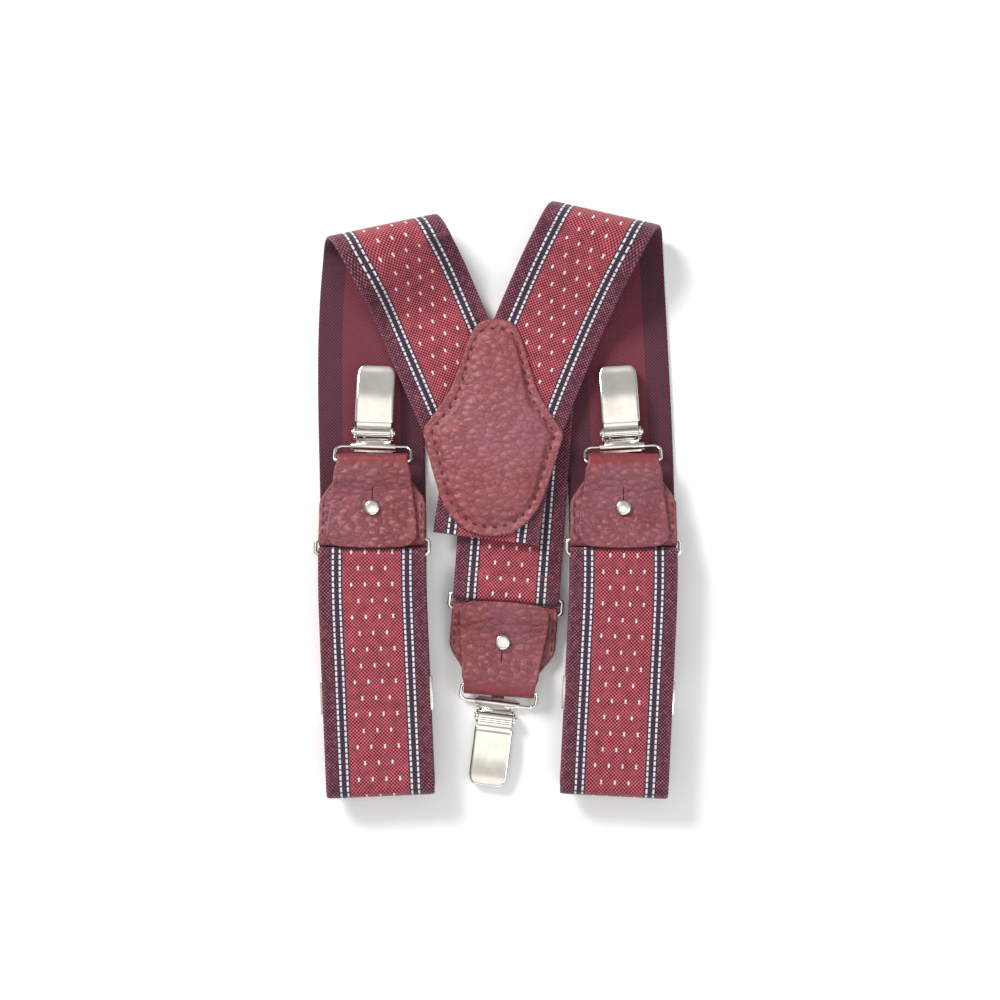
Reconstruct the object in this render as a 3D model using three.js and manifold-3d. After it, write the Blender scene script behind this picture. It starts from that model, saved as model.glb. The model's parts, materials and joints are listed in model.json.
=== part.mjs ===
// Suspenders with three clips, folded flat: Y-back webbing, leather yoke, leather ends buttoned on studs.
// Millimetres. +Z is up from the table, +Y points to the shoulder folds, and the rear clip points to -Y.
import * as THREE from "three";
import Module from "manifold-3d";
import { mergeVertices } from "three/addons/utils/BufferGeometryUtils.js";

const wasm = await Module();
wasm.setup();
const { Manifold, Mesh: SolidMesh } = wasm;

// ---- Webbing ----
const WEB_WIDTH = 35;
const WEB_THICK = 1.3;
const LAYER_GAP = 0.3;
const FRONT_RUN = 78.8; // ring to the lower fold
const SHOULDER_RADIUS = 7; // the roomy turn at the top
const COLUMN_GAP = { left: 6.6, right: 5.4 }; // from the middle strap's edge to a front column
const FRONT_END_Y = -17.3;
const YOKE_HEIGHT = 71.6;
const YOKE_HALF_WIDTH = 23.4;

// ---- Wire parts ----
const RING_WIRE = 1.4;
const RING_PITCH = 4.8; // between its two long bars
const RING_CLEAR = 0.25;
const LOOP_WIRE = 1.1;
const LOOP_WIDTH = 26;
const LOOP_REACH = 5.1; // seen from above
const LOOP_CORNER = 2.3; // at the clip

// ---- Leather ----
const LEATHER_THICK = 1.3;
const TAB_LENGTH = 25.7; // ring bar to wire loop bar
const TAB_FOLD_WIDTH = 23.2;
const TAB_FLAP_WIDTH = 29.6;
const TAB_WING_WIDTH = 34.8;
const TAB_FOLD_CLEAR = 0.6;
const FLAP_OVERHANG = 3.1;
const STUD_FROM_BAR = 10.2;
const STUD_HEAD = 5.2;
const STUD_NECK = 2.2;
const YOKE_THICK = 2;

// ---- Clip ----
const CLIP_WIDTH = 12.7;
const CLIP_LENGTH = 26.8; // sleeve centre to tip
const CLIP_SHEET = 0.7;
const SLEEVE_WIDTH = 14.6;
const SLEEVE_RADIUS = 1.25;
const PIN_RADIUS = 0.6;
const PIN_FROM_SLEEVE = 4.5;

const SHOULDER_RISE = 46.5; // keeps a strap on its way to the yoke clear of the clip beside it
const SHOULDER_Y = SHOULDER_RISE + WEB_WIDTH + CLIP_WIDTH; // ring to the start of the shoulder fold

const V = (x, y, z) => new THREE.Vector3(x, y, z);
const rad = THREE.MathUtils.degToRad;
const smooth = (t) => THREE.MathUtils.smoothstep(t, 0, 1);
const mix = THREE.MathUtils.lerp;

// ---------------------------------------------------------------- solids

// A closed geometry from points and triangles, turned to face outwards.
function closed(points, triangles) {
  let volume = 0;
  for (const [a, b, c] of triangles) {
    volume += points[a].dot(V(0, 0, 0).crossVectors(points[b], points[c]));
  }
  const facing = volume < 0 ? triangles.map(([a, b, c]) => [a, c, b]) : triangles;
  const geometry = new THREE.BufferGeometry();
  geometry.setFromPoints(points);
  geometry.setIndex(facing.flat());
  return geometry;
}

// Rings of the same number of points, joined in order and capped, or joined round in a loop.
function loft(rings, looped = false) {
  const size = rings[0].length;
  const points = rings.flat();
  const triangles = [];
  const joins = looped ? rings.length : rings.length - 1;
  for (let i = 0; i < joins; i++) {
    const next = (i + 1) % rings.length;
    for (let k = 0; k < size; k++) {
      const a = i * size + k;
      const b = i * size + ((k + 1) % size);
      const c = next * size + ((k + 1) % size);
      const d = next * size + k;
      triangles.push([a, b, c], [a, c, d]);
    }
  }
  if (!looped) {
    const last = (rings.length - 1) * size;
    for (let k = 1; k < size - 1; k++) {
      triangles.push([0, k + 1, k], [last, last + k, last + k + 1]);
    }
  }
  return closed(points, triangles);
}

function solid(geometry) {
  const bare = new THREE.BufferGeometry();
  const source = geometry.index ? geometry : mergeVertices(geometry);
  bare.setAttribute("position", source.getAttribute("position"));
  bare.setIndex(source.index);
  const merged = mergeVertices(bare, 1e-4);
  return new Manifold(
    new SolidMesh({
      numProp: 3,
      vertProperties: new Float32Array(merged.attributes.position.array),
      triVerts: new Uint32Array(merged.index.array),
    }),
  );
}

function geometryOf(body) {
  const mesh = body.getMesh();
  const geometry = new THREE.BufferGeometry();
  geometry.setAttribute("position", new THREE.BufferAttribute(new Float32Array(mesh.vertProperties), 3));
  geometry.setIndex(new THREE.BufferAttribute(new Uint32Array(mesh.triVerts), 1));
  return geometry;
}

const joined = (...parts) => parts.reduce((a, b) => a.add(b));

// A box between two corners.
function box(low, high) {
  const size = high.map((v, i) => v - low[i]);
  const middle = high.map((v, i) => (v + low[i]) / 2);
  return Manifold.cube(size, true).translate(middle);
}

// A cylinder along X, centred on x = 0.
function barX(radius, width, y, z, sides = 20) {
  return Manifold.cylinder(width, radius, radius, sides, true).rotate([0, 90, 0]).translate([0, y, z]);
}

// An upright cylinder from one height to another.
function post(radius, x, y, low, high, sides = 24) {
  return Manifold.cylinder(high - low, radius, radius, sides).translate([x, y, low]);
}

// Round wire swept along a closed flat path.
function wireLoop(path, radius, up, sides = 8) {
  const rings = path.map((at, i) => {
    const before = path[(i + path.length - 1) % path.length];
    const after = path[(i + 1) % path.length];
    const ahead = after.clone().sub(before).normalize();
    const out = V(0, 0, 0).crossVectors(ahead, up).normalize();
    const ring = [];
    for (let k = 0; k < sides; k++) {
      const a = (2 * Math.PI * (k + 0.5)) / sides;
      ring.push(at.clone().addScaledVector(out, radius * Math.cos(a)).addScaledVector(up, radius * Math.sin(a)));
    }
    return ring;
  });
  return loft(rings, true);
}

// A rectangle with rounded corners: half width in X, from y = 0 to the pitch along a direction.
function roundedRectangle(half, pitch, near, far, along) {
  const path = [];
  const corners = [
    [half - near, near, -90, near],
    [half - far, pitch - far, 0, far],
    [-half + far, pitch - far, 90, far],
    [-half + near, near, 180, near],
  ];
  for (const [x, y, start, corner] of corners) {
    for (let k = 0; k <= 3; k++) {
      const a = rad(start + 30 * k);
      path.push(V(x + corner * Math.cos(a), 0, 0).addScaledVector(along, y + corner * Math.sin(a)));
    }
  }
  return path;
}

// ---------------------------------------------------------------- strips

// A strip of webbing or leather, laid out as stations across it.
class Strip {
  constructor() {
    this.stations = [];
    this.travel = 0;
  }

  // One station: its middle, the direction across the strip, and its reach along that direction as a share.
  add(at, across, stretch = 1) {
    const last = this.stations.at(-1);
    if (last) {
      if (last.across.dot(across) < 0) across = across.clone().negate();
      this.travel += last.at.distanceTo(at);
    }
    this.stations.push({ at: at.clone(), across: across.clone(), stretch, s: this.travel });
  }

  // A half turn about a line in the plane, up or down, that carries a slanted strip sideways as it goes.
  turn(from, heading, line, radius, rise, steps) {
    const out = V(-line.y, line.x, 0);
    if (out.dot(heading) < 0) out.negate();
    const lean = heading.dot(line) / heading.dot(out);
    const stretch = Math.hypot(1, lean);
    let at = from;
    for (let i = 0; i <= steps; i++) {
      const angle = (Math.PI * i) / steps;
      at = from
        .clone()
        .addScaledVector(out, radius * Math.sin(angle))
        .addScaledVector(line, radius * angle * lean)
        .add(V(0, 0, rise * radius * (1 - Math.cos(angle))));
      this.add(at, line, stretch);
    }
    const back = heading.clone().addScaledVector(out, -2 * heading.dot(out));
    return { at, heading: back };
  }

  // The closed solid, for a thickness and a width that may change along the strip.
  geometry(thickness, width) {
    const st = this.stations;
    const rings = st.map((here, i) => {
      const before = st[Math.max(i - 1, 0)];
      const after = st[Math.min(i + 1, st.length - 1)];
      const ahead = after.at.clone().sub(before.at);
      const normal = V(0, 0, 0).crossVectors(here.across, ahead).normalize();
      const half = (width(here.s, this.travel) / 2) * here.stretch;
      const corner = (side, up) =>
        here.at
          .clone()
          .addScaledVector(here.across, side * half)
          .addScaledVector(normal, (up * thickness) / 2);
      return [corner(-1, 1), corner(1, 1), corner(1, -1), corner(-1, -1)];
    });
    return loft(rings);
  }
}

const pitch = WEB_THICK + LAYER_GAP;
const webRadius = RING_WIRE / 2 + RING_CLEAR + WEB_THICK / 2;
const tabRadius = RING_WIRE / 2 + RING_CLEAR + LEATHER_THICK / 2;

// Heights of the folded layers of a front strap, from the table up.
const zC = WEB_THICK / 2 + 0.05;
const zB = zC + pitch + 0.2;
const ADJUSTER_PLATE = 0.7;
const ADJUSTER_CLEAR = 0.3;
const ADJUSTER_RAIL = 0.5;
const zA = zB + WEB_THICK + ADJUSTER_PLATE + 2 * ADJUSTER_CLEAR + 0.1;
const zTailLow = zA + pitch;
const zTailHigh = zTailLow + WEB_THICK + ADJUSTER_PLATE + 2 * ADJUSTER_CLEAR;
const zFront = zTailHigh + pitch;
const foldRadius = (zFront - zA) / 2;
const nestRadius = (zTailHigh - zTailLow) / 2;

// How far down its column each layer goes before it turns.
const foldAt = FRONT_RUN - foldRadius - WEB_THICK / 2;
const topFoldAt = -(RING_PITCH + 4);
const ADJUSTER_AT = 46;
const ADJUSTER_LENGTH = 11;
const TAIL_END_AT = 30;

// Rest heights and slopes of the leather ends.
const tabBottom = -(tabRadius + LEATHER_THICK / 2 + 0.5);
const clipReach = RING_PITCH + TAB_LENGTH + LOOP_REACH + CLIP_LENGTH;
const frontRingZ = zA + WEB_THICK / 2 + webRadius + WEB_THICK / 2 + 1.5;
const frontSlope = Math.asin((frontRingZ + tabBottom - zC - WEB_THICK / 2 - 0.1) / clipReach);
const rearRingZ = 0.05 - tabBottom;

// Layers under the yoke, from the table up.
const zRear = LEATHER_THICK + 0.2 + WEB_THICK / 2;
const zLeft = zRear + WEB_THICK + 0.15;
const zRight = zLeft + WEB_THICK + 0.15;
const zYoke = zRight + WEB_THICK / 2 + 0.15;

// ---------------------------------------------------------------- straps

// side is -1 for the left strap and 1 for the right one; every plan point is made for the left and mirrored.
const FRONT = {
  left: { side: -1, lean: 2.6, arrive: 5, leave: 29, shift: 0.2, rise: 0, finish: zLeft, drop: 26 },
  right: { side: 1, lean: 2.9, arrive: 2.5, leave: 28, shift: 3.6, rise: 4.7, finish: zRight, drop: 34 },
};

const columnX = (strap) => WEB_WIDTH + COLUMN_GAP[strap.side < 0 ? "left" : "right"];

// The plan of a front column: middle and heading at a distance down from the ring.
function column(strap, down) {
  const at = V(-columnX(strap), FRONT_END_Y, 0);
  const steps = 16;
  let heading = 0;
  for (let i = 0; i < steps; i++) {
    const d = (down * (i + 0.5)) / steps;
    heading = rad(strap.lean) * smooth(d / 24);
    at.add(V(Math.sin(heading), -Math.cos(heading), 0).multiplyScalar(down / steps));
  }
  heading = rad(strap.lean) * smooth(down / 24);
  return { at, down: V(Math.sin(heading), -Math.cos(heading), 0) };
}

function frontStrap(name) {
  const strap = FRONT[name];
  const strip = new Strip();
  const flip = (v) => V(strap.side < 0 ? v.x : -v.x, v.y, v.z);

  const put = (at, across, stretch) => strip.add(at, across, stretch);
  const lay = (from, to, steps, height) => {
    for (let i = 0; i <= steps; i++) {
      const d = mix(from, to, i / steps);
      const here = column(strap, d);
      put(here.at.setZ(height(d)), V(-here.down.y, here.down.x, 0));
    }
  };
  const turn = (down, z, radius, rise, goingDown, steps) => {
    const here = column(strap, down);
    const heading = here.down.clone().multiplyScalar(goingDown ? 1 : -1);
    strip.turn(here.at.setZ(z), heading, V(-here.down.y, here.down.x, 0), radius, rise, steps);
  };

  // The tail, doubled back from the ring, then the front run and the folded layers under it.
  lay(TAIL_END_AT, foldAt - 1, 2, () => zTailLow);
  turn(foldAt, zTailLow, nestRadius, 1, true, 8);
  lay(foldAt - 1, 24, 3, () => zTailHigh);
  lay(22, 1, 5, (d) => mix(frontRingZ - webRadius, zTailHigh, smooth((d - 6) / 16)));
  turn(0, frontRingZ - webRadius, webRadius, 1, false, 10);
  lay(1, 23, 5, (d) => mix(frontRingZ + webRadius, zFront, smooth(d / 22)));
  lay(30, foldAt - 1, 3, () => zFront);
  turn(foldAt, zFront, foldRadius, -1, true, 10);
  lay(foldAt - 1, 18, 3, () => zA);
  lay(12, topFoldAt + 1, 3, () => zA);
  turn(topFoldAt, zA, (zA - zB) / 2, -1, false, 8);
  lay(topFoldAt + 1, 18, 3, () => zB);
  lay(24, foldAt - 1, 3, () => zB);
  turn(foldAt, zB, (zB - zC) / 2, -1, true, 8);
  lay(foldAt - 1, 24, 3, () => zC);
  lay(18, 0, 3, () => zC);

  // The long run to the shoulder, drifting sideways to meet the fold.
  const length = SHOULDER_Y + strap.rise;
  const steps = 10;
  const walk = (bow) => {
    const points = [];
    const at = column(strap, 0).at.setZ(zC);
    for (let i = 1; i <= steps * 4; i++) {
      const t = (i - 0.5) / (steps * 4);
      const heading = rad(strap.arrive * t * t + bow * Math.sin(Math.PI * t));
      at.add(V(Math.sin(heading), Math.cos(heading), 0).multiplyScalar(length / (steps * 4)));
      if (i % 4 === 0) points.push({ at: at.clone(), heading });
    }
    return points;
  };
  const reach = (bow) => walk(bow).at(-1).at.x;
  const wanted = column(strap, 0).at.x + strap.shift;
  const bow = (wanted - reach(0)) / (reach(1) - reach(0));
  for (const { at, heading } of walk(bow)) {
    put(at, V(Math.cos(heading), -Math.sin(heading), 0));
  }
  const tip = walk(bow).at(-1);
  const arrive = rad(strap.arrive);
  const tilt = (rad(strap.leave) - arrive) / 2;
  const line = V(Math.cos(tilt), Math.sin(tilt), 0);
  const heading = V(Math.sin(arrive), Math.cos(arrive), 0);
  const approach = (WEB_WIDTH / 2) * Math.tan(tilt + arrive) + 0.5;
  const start = tip.at.clone().addScaledVector(heading, approach);
  const turned = strip.turn(start, heading, line, SHOULDER_RADIUS, 1, 14);

  // Down to the yoke on top, its heading easing off to lie under the leather.
  const shoulderZ = turned.at.z;
  const pieces =
    name === "left"
      ? [[22, 23.5], [50, 23]]
      : [[30, 23.5], [24, 21.5], [53, 6.5]];
  let angle = Math.atan2(turned.heading.x, -turned.heading.y);
  const at = turned.at.clone();
  let gone = (WEB_WIDTH / 2) * Math.tan(tilt + arrive) + 1.5;
  at.addScaledVector(turned.heading, gone);
  const drop = (s) => mix(shoulderZ, strap.finish, smooth(s / strap.drop));
  put(at.clone().setZ(drop(gone)), V(Math.cos(angle), Math.sin(angle), 0));
  for (const [run, goal] of pieces) {
    const begin = angle;
    const count = Math.max(4, Math.round(run / 5));
    const travel = run - (gone < 12 ? gone : 0);
    for (let i = 1; i <= count; i++) {
      angle = mix(begin, rad(goal), (i - 0.5) / count);
      at.add(V(Math.sin(angle), -Math.cos(angle), 0).multiplyScalar(travel / count));
      gone += travel / count;
      put(at.clone().setZ(drop(gone)), V(Math.cos(angle), Math.sin(angle), 0));
    }
    angle = rad(goal);
  }
  for (const station of strip.stations) {
    station.at = flip(station.at);
    station.across = flip(station.across);
  }
  return strip;
}

// The rear webbing: from under the yoke down to the rear ring, round it and back under itself to its seam.
const REAR_AT = V(2.1, -31.2, 0);
const REAR_LEAN = 4.3;
const REAR_TOP = 66;
const REAR_RETURN = 10.5;

function rearStrap() {
  const strip = new Strip();
  const down = V(-Math.sin(rad(REAR_LEAN)), -Math.cos(rad(REAR_LEAN)), 0);
  const across = V(-down.y, down.x, 0);
  const overlay = rearRingZ - webRadius + WEB_THICK + 0.15;
  const height = (up) => {
    if (up > REAR_RETURN + 2) return mix(overlay, zRear, smooth((up - REAR_RETURN - 2) / 6));
    return mix(rearRingZ + webRadius, overlay, smooth((up - 1) / 7));
  };
  for (const up of [REAR_TOP, 50, 36, 24, 19.5, 17.5, 16, 14.5, 12.5, 10, 8, 6.5, 5, 3.5, 2, 1]) {
    strip.add(REAR_AT.clone().addScaledVector(down, -up).setZ(height(up)), across);
  }
  strip.turn(REAR_AT.clone().setZ(rearRingZ + webRadius), down, across, webRadius, -1, 10);
  for (const up of [1, 4, REAR_RETURN]) {
    strip.add(REAR_AT.clone().addScaledVector(down, -up).setZ(rearRingZ - webRadius), across);
  }
  return strip;
}

// A slide through which a front strap and its doubled tail pass.
function adjuster(name) {
  const strap = FRONT[name];
  const here = column(strap, ADJUSTER_AT);
  const inner = WEB_WIDTH / 2 + ADJUSTER_CLEAR;
  const outer = inner + ADJUSTER_RAIL;
  const low = zA - WEB_THICK / 2 - ADJUSTER_CLEAR;
  const high = zTailLow + WEB_THICK / 2 + ADJUSTER_CLEAR;
  const half = ADJUSTER_LENGTH / 2;
  const hollow = box([-inner, -half - 1, low], [inner, half + 1, high]);
  const shell = box([-outer, -half, low - ADJUSTER_PLATE], [outer, half, high + ADJUSTER_PLATE]);
  const turned = (Math.atan2(here.down.x, -here.down.y) * 180) / Math.PI;
  const body = shell.subtract(hollow).rotate([0, 0, turned]).translate([here.at.x, here.at.y, 0]);
  return geometryOf(strap.side < 0 ? body : body.mirror([1, 0, 0]));
}

// ---------------------------------------------------------------- yoke

// Half outlines of the yoke leather, from its top to its bottom: [distance down as a share, half width].
const YOKE_AT = V(-2.1, 24.3, 0);
const YOKE_TURN = -1.5;
const YOKE_PROFILE = [
  [0, 0.02], [0.004, 0.13], [0.016, 0.225], [0.035, 0.28], [0.072, 0.347], [0.11, 0.39], [0.182, 0.462],
  [0.255, 0.534], [0.329, 0.624], [0.402, 0.752], [0.446, 0.841], [0.49, 0.935], [0.51, 0.975], [0.53, 0.985],
  [0.571, 0.956], [0.622, 0.912], [0.696, 0.845], [0.769, 0.774], [0.842, 0.697], [0.879, 0.637], [0.916, 0.553],
  [0.952, 0.438], [0.98, 0.3], [0.995, 0.16], [1, 0.02],
];

function yokeOutline(inset) {
  const halfWidth = YOKE_HALF_WIDTH - inset;
  const height = YOKE_HEIGHT - 2 * inset;
  const right = YOKE_PROFILE.map(([t, w]) => [w * halfWidth, (0.5 - t) * height]);
  const left = right.map(([x, y]) => [-x, y]).reverse();
  const turn = rad(YOKE_TURN);
  return [...right, ...left].map(([x, y]) =>
    V(
      YOKE_AT.x + x * Math.cos(turn) - y * Math.sin(turn),
      YOKE_AT.y + x * Math.sin(turn) + y * Math.cos(turn),
      0,
    ),
  );
}

// A plate over an outline, thinner towards its edge.
function plate(outline, low, edge, middle) {
  const centre = outline.reduce((sum, p) => sum.add(p), V(0, 0, 0)).divideScalar(outline.length);
  const shares = [1, 0.94, 0.85, 0.6, 0.3];
  const points = [];
  const triangles = [];
  const size = outline.length;
  const layers = [...shares.map((t) => [t, true]), ...[...shares].reverse().map((t) => [t, false])];
  const order = [...layers.slice(shares.length), ...layers.slice(0, shares.length)];
  for (const [t, top] of order) {
    const z = top ? low + mix(middle, edge, smooth((t - 0.45) / 0.5)) : low;
    for (const p of outline) {
      points.push(centre.clone().lerp(p, t).setZ(z));
    }
  }
  for (let i = 0; i + 1 < order.length; i++) {
    for (let k = 0; k < size; k++) {
      const a = i * size + k;
      const b = i * size + ((k + 1) % size);
      triangles.push([a, b, b + size], [a, b + size, a + size]);
    }
  }
  const bottomHub = points.push(centre.clone().setZ(low)) - 1;
  const topHub = points.push(centre.clone().setZ(low + middle)) - 1;
  const last = (order.length - 1) * size;
  for (let k = 0; k < size; k++) {
    const next = (k + 1) % size;
    triangles.push([bottomHub, next, k], [topHub, last + k, last + next]);
  }
  return closed(points, triangles);
}

// ---------------------------------------------------------------- leather ends and clips

const barY = RING_PITCH;
const zBack = -tabRadius + LEATHER_THICK + 0.1;
const loopTurnRadius = LOOP_WIRE / 2 + TAB_FOLD_CLEAR + LEATHER_THICK / 2;
const loopY = barY + TAB_LENGTH;
const loopZ = zBack + loopTurnRadius;
const zFlap = zBack + LEATHER_THICK + 0.1;
const studY = barY + STUD_FROM_BAR;
const sleeveZ = tabBottom + SLEEVE_RADIUS;
const sleeveY = loopY + LOOP_REACH;
const loopLength = Math.hypot(LOOP_REACH, sleeveZ - loopZ);

function tabLeather() {
  const strip = new Strip();
  const across = V(1, 0, 0);
  const underEnd = barY + 13;
  const marks = { bar: 0, loop: 0 };
  for (const y of [underEnd, underEnd - 0.8, underEnd - 2, underEnd - 4, barY + 5, barY + 1]) {
    strip.add(V(0, y, -tabRadius), across);
  }
  strip.turn(V(0, barY, -tabRadius), V(0, -1, 0), across, tabRadius, 1, 10);
  marks.bar = strip.travel;
  const backHeight = (y) => mix(tabRadius, zBack, smooth((y - barY - 1) / 7));
  for (const d of [1, 2.5, 4, 5.5, 7, 8.5, 11, 13, 15, 17, 19, 20.5, 22, 23, 23.8, 24.6]) {
    strip.add(V(0, barY + d, backHeight(barY + d)), across);
  }
  strip.turn(V(0, loopY, zBack), V(0, 1, 0), across, loopTurnRadius, 1, 10);
  marks.loop = strip.travel;
  const top = zBack + 2 * loopTurnRadius;
  const rise = tabRadius + LEATHER_THICK + 0.1;
  const flapHeight = (y) =>
    y > studY ? mix(zFlap, top, smooth((y - studY - 4) / 8)) : mix(rise, zFlap, smooth((y - barY - 1) / 7));
  const flapEnd = barY - FLAP_OVERHANG;
  for (const y of [
    loopY - 0.5, loopY - 1.5, loopY - 3, loopY - 4.5, loopY - 6, loopY - 8, loopY - 10,
    studY + 2, studY, studY - 2, barY + 7, barY + 5.5, barY + 4, barY + 2.5, barY + 1, flapEnd + 2.5,
    flapEnd + 1.5, flapEnd + 0.8, flapEnd + 0.3, flapEnd,
  ]) {
    strip.add(V(0, y, flapHeight(y)), across);
  }
  const width = (s, total) => {
    if (s < marks.bar) {
      const wing = mix(TAB_WING_WIDTH - 5, TAB_WING_WIDTH, smooth(s / 9));
      return s < 2 ? wing - 2 * (2 - Math.sqrt(4 - (2 - s) ** 2)) : wing;
    }
    const back = s - marks.bar;
    if (s < marks.loop) return mix(TAB_WING_WIDTH, TAB_FOLD_WIDTH, smooth((back - 11) / 12));
    const flap = s - marks.loop;
    const left = total - s;
    const wide = mix(TAB_FOLD_WIDTH, TAB_FLAP_WIDTH, smooth((flap - 0.5) / 24) * 0.75 + smooth(flap / 4) * 0.25);
    const corner = 4.2;
    return left < corner ? wide - 2 * (corner - Math.sqrt(corner ** 2 - (corner - left) ** 2)) : wide;
  };
  const leather = solid(strip.geometry(LEATHER_THICK, width));
  const holes = joined(
    post(STUD_NECK / 2 + 0.3, 0, studY, -5, 5),
    box([-0.3, studY, zFlap - 1], [0.3, studY + 7, 4]).subtract(
      box([-1, studY - 1, zFlap - 2], [1, studY + 8, zFlap - LEATHER_THICK / 2 - 0.05]),
    ),
  );
  return geometryOf(leather.subtract(holes));
}

function stud() {
  const flapTop = zFlap + LEATHER_THICK / 2 + 0.1;
  const under = -tabRadius - LEATHER_THICK / 2 - 0.05;
  const dome = Manifold.sphere(STUD_HEAD / 2, 24)
    .scale([1, 1, 0.5])
    .translate([0, studY, flapTop + 0.5])
    .subtract(box([-5, studY - 5, -5], [5, studY + 5, flapTop + 0.5]));
  return geometryOf(
    joined(
      post(3, 0, studY, tabBottom, under),
      post(STUD_NECK / 2, 0, studY, under - 0.1, flapTop + 0.2, 16),
      post(STUD_HEAD / 2, 0, studY, flapTop, flapTop + 0.55),
      dome,
    ),
  );
}

function clipBase() {
  const half = SLEEVE_WIDTH / 2;
  const bore = LOOP_WIRE / 2 + 0.35;
  const floor = -SLEEVE_RADIUS;
  const jaw = CLIP_WIDTH / 2 - 1.15;
  const ear = CLIP_WIDTH / 2 - 0.55;
  const neck = CLIP_WIDTH / 2 - 0.7;
  const earSide = (side) => {
    const low = Math.min(side * ear, side * (ear + CLIP_SHEET));
    const plateLow = box(
      [low, PIN_FROM_SLEEVE - 2, floor],
      [low + CLIP_SHEET, PIN_FROM_SLEEVE + 2, 1.5],
    );
    const round = Manifold.cylinder(CLIP_SHEET, 2, 2, 20)
      .rotate([0, 90, 0])
      .translate([low, PIN_FROM_SLEEVE, 1.5]);
    return plateLow.add(round);
  };
  const sheet = joined(
    barX(SLEEVE_RADIUS, 2 * half, 0, 0),
    Manifold.hull([
      box([-neck, -0.2, floor], [neck, 0.7, SLEEVE_RADIUS - 0.1]),
      box([-neck, 2.6, floor], [neck, 2.9, floor + CLIP_SHEET]),
    ]),
    box([-ear - CLIP_SHEET, 2.4, floor], [ear + CLIP_SHEET, 6.5, floor + CLIP_SHEET]),
    box([-jaw, 6, floor], [jaw, CLIP_LENGTH - 1.2, floor + CLIP_SHEET]),
    box([-jaw + 1.2, CLIP_LENGTH - 2, floor], [jaw - 1.2, CLIP_LENGTH - 0.4, floor + CLIP_SHEET]),
    box([-jaw + 1.2, CLIP_LENGTH - 1.1, floor], [jaw - 1.2, CLIP_LENGTH - 0.4, floor + 1.2]),
    box([-2, -2.9, floor], [2, -0.6, floor + 0.5]),
    box([-half + 1, -1.7, floor], [half - 1, -0.6, floor + 0.6]),
    earSide(1),
    earSide(-1),
  );
  const slot = box([-half - 1, -2.5, -0.35], [half + 1, -0.2, 0.35]);
  return sheet
    .subtract(barX(bore, 2 * half + 2, 0, 0))
    .subtract(slot.intersect(box([-20, -1.35, -1], [20, -0.2, 1])))
    .subtract(barX(PIN_RADIUS + 0.05, 20, PIN_FROM_SLEEVE, 1.5));
}

function clipPin() {
  const ear = CLIP_WIDTH / 2 - 0.55 + CLIP_SHEET;
  const head = (side) => {
    const low = Math.min(side * (ear + 0.08), side * (ear + 0.6));
    return Manifold.cylinder(0.52, 0.95, 0.95, 16)
      .rotate([0, 90, 0])
      .translate([low, PIN_FROM_SLEEVE, 1.5]);
  };
  return joined(barX(PIN_RADIUS, 2 * ear + 0.5, PIN_FROM_SLEEVE, 1.5, 16), head(1), head(-1));
}

// The pad that the trousers are gripped against, on the base plate.
function clipPad() {
  const jaw = CLIP_WIDTH / 2 - 1.6;
  const low = -SLEEVE_RADIUS + CLIP_SHEET + 0.05;
  const ribs = [];
  for (let y = 14; y < CLIP_LENGTH - 4; y += 2.4) {
    ribs.push(box([-jaw, y, low], [jaw, y + 1.2, low + 1.45]));
  }
  return joined(box([-jaw, 12.6, low], [jaw, CLIP_LENGTH - 1.6, low + 0.95]), ...ribs);
}

// The drawn cover, which turns on the pin and carries the upper jaw.
function clipCover() {
  const half = CLIP_WIDTH / 2;
  const start = 8;
  const end = CLIP_LENGTH + 0.1;
  const section = (y, w, top, bottom, soft) =>
    [
      [-w, bottom], [w, bottom], [w, top - soft], [w - soft * 0.3, top - soft * 0.35],
      [w - soft, top - 0.08], [w * 0.4, top + 0.28], [0, top + 0.36], [-w * 0.4, top + 0.28],
      [-w + soft, top - 0.08], [-w + soft * 0.3, top - soft * 0.35], [-w, top - soft],
    ].map(([x, z]) => V(x, y, z));
  const outline = (inset) => {
    const rings = [];
    const top = (t) => mix(2.7, 3.0, Math.sin(Math.PI * Math.min(t * 1.3, 1))) - 0.9 * smooth((t - 0.55) / 0.45);
    for (const t of [0, 0.04, 0.12, 0.3, 0.5, 0.68, 0.8, 0.88, 0.94, 0.98, 1]) {
      const y = mix(start + inset * 0.9, end - inset, t);
      const nose = t > 0.8 ? Math.sqrt(Math.max(0, 1 - ((t - 0.8) / 0.2) ** 2)) : 1;
      const w = (half - inset) * mix(0.62, 1, nose) * mix(0.93, 1, smooth(t / 0.14));
      rings.push(section(y, w, top(t) - inset, inset ? -3 : 0.15, 1.1));
    }
    return solid(loft(rings));
  };
  const shell = outline(0).subtract(outline(CLIP_SHEET));
  const knuckle = barX(1.5, 2 * (half - 0.8), PIN_FROM_SLEEVE, 1.5, 24);
  const neck = box([-half + 0.8, PIN_FROM_SLEEVE, 2.1], [half - 0.8, start + 1, 2.9]);
  const cheek = box([-half + 1.4, PIN_FROM_SLEEVE, 0.4], [half - 1.4, start + 0.6, 2.4]);
  return joined(shell, knuckle, neck, cheek).subtract(barX(PIN_RADIUS + 0.1, 20, PIN_FROM_SLEEVE, 1.5, 20));
}

// ---------------------------------------------------------------- assembly

const COLOURS = {
  webbing: [0x8c4453, 0.9, 0],
  leather: [0x82404b, 0.7, 0],
  steel: [0xd8d6d0, 0.25, 1],
  plastic: [0x202022, 0.6, 0],
};
const materials = Object.fromEntries(
  Object.entries(COLOURS).map(([name, [color, roughness, metalness]]) => [
    name,
    new THREE.MeshStandardMaterial({ color, roughness, metalness, name }),
  ]),
);

const group = new THREE.Group();
group.name = "suspenders";
const pivots = {};

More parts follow.
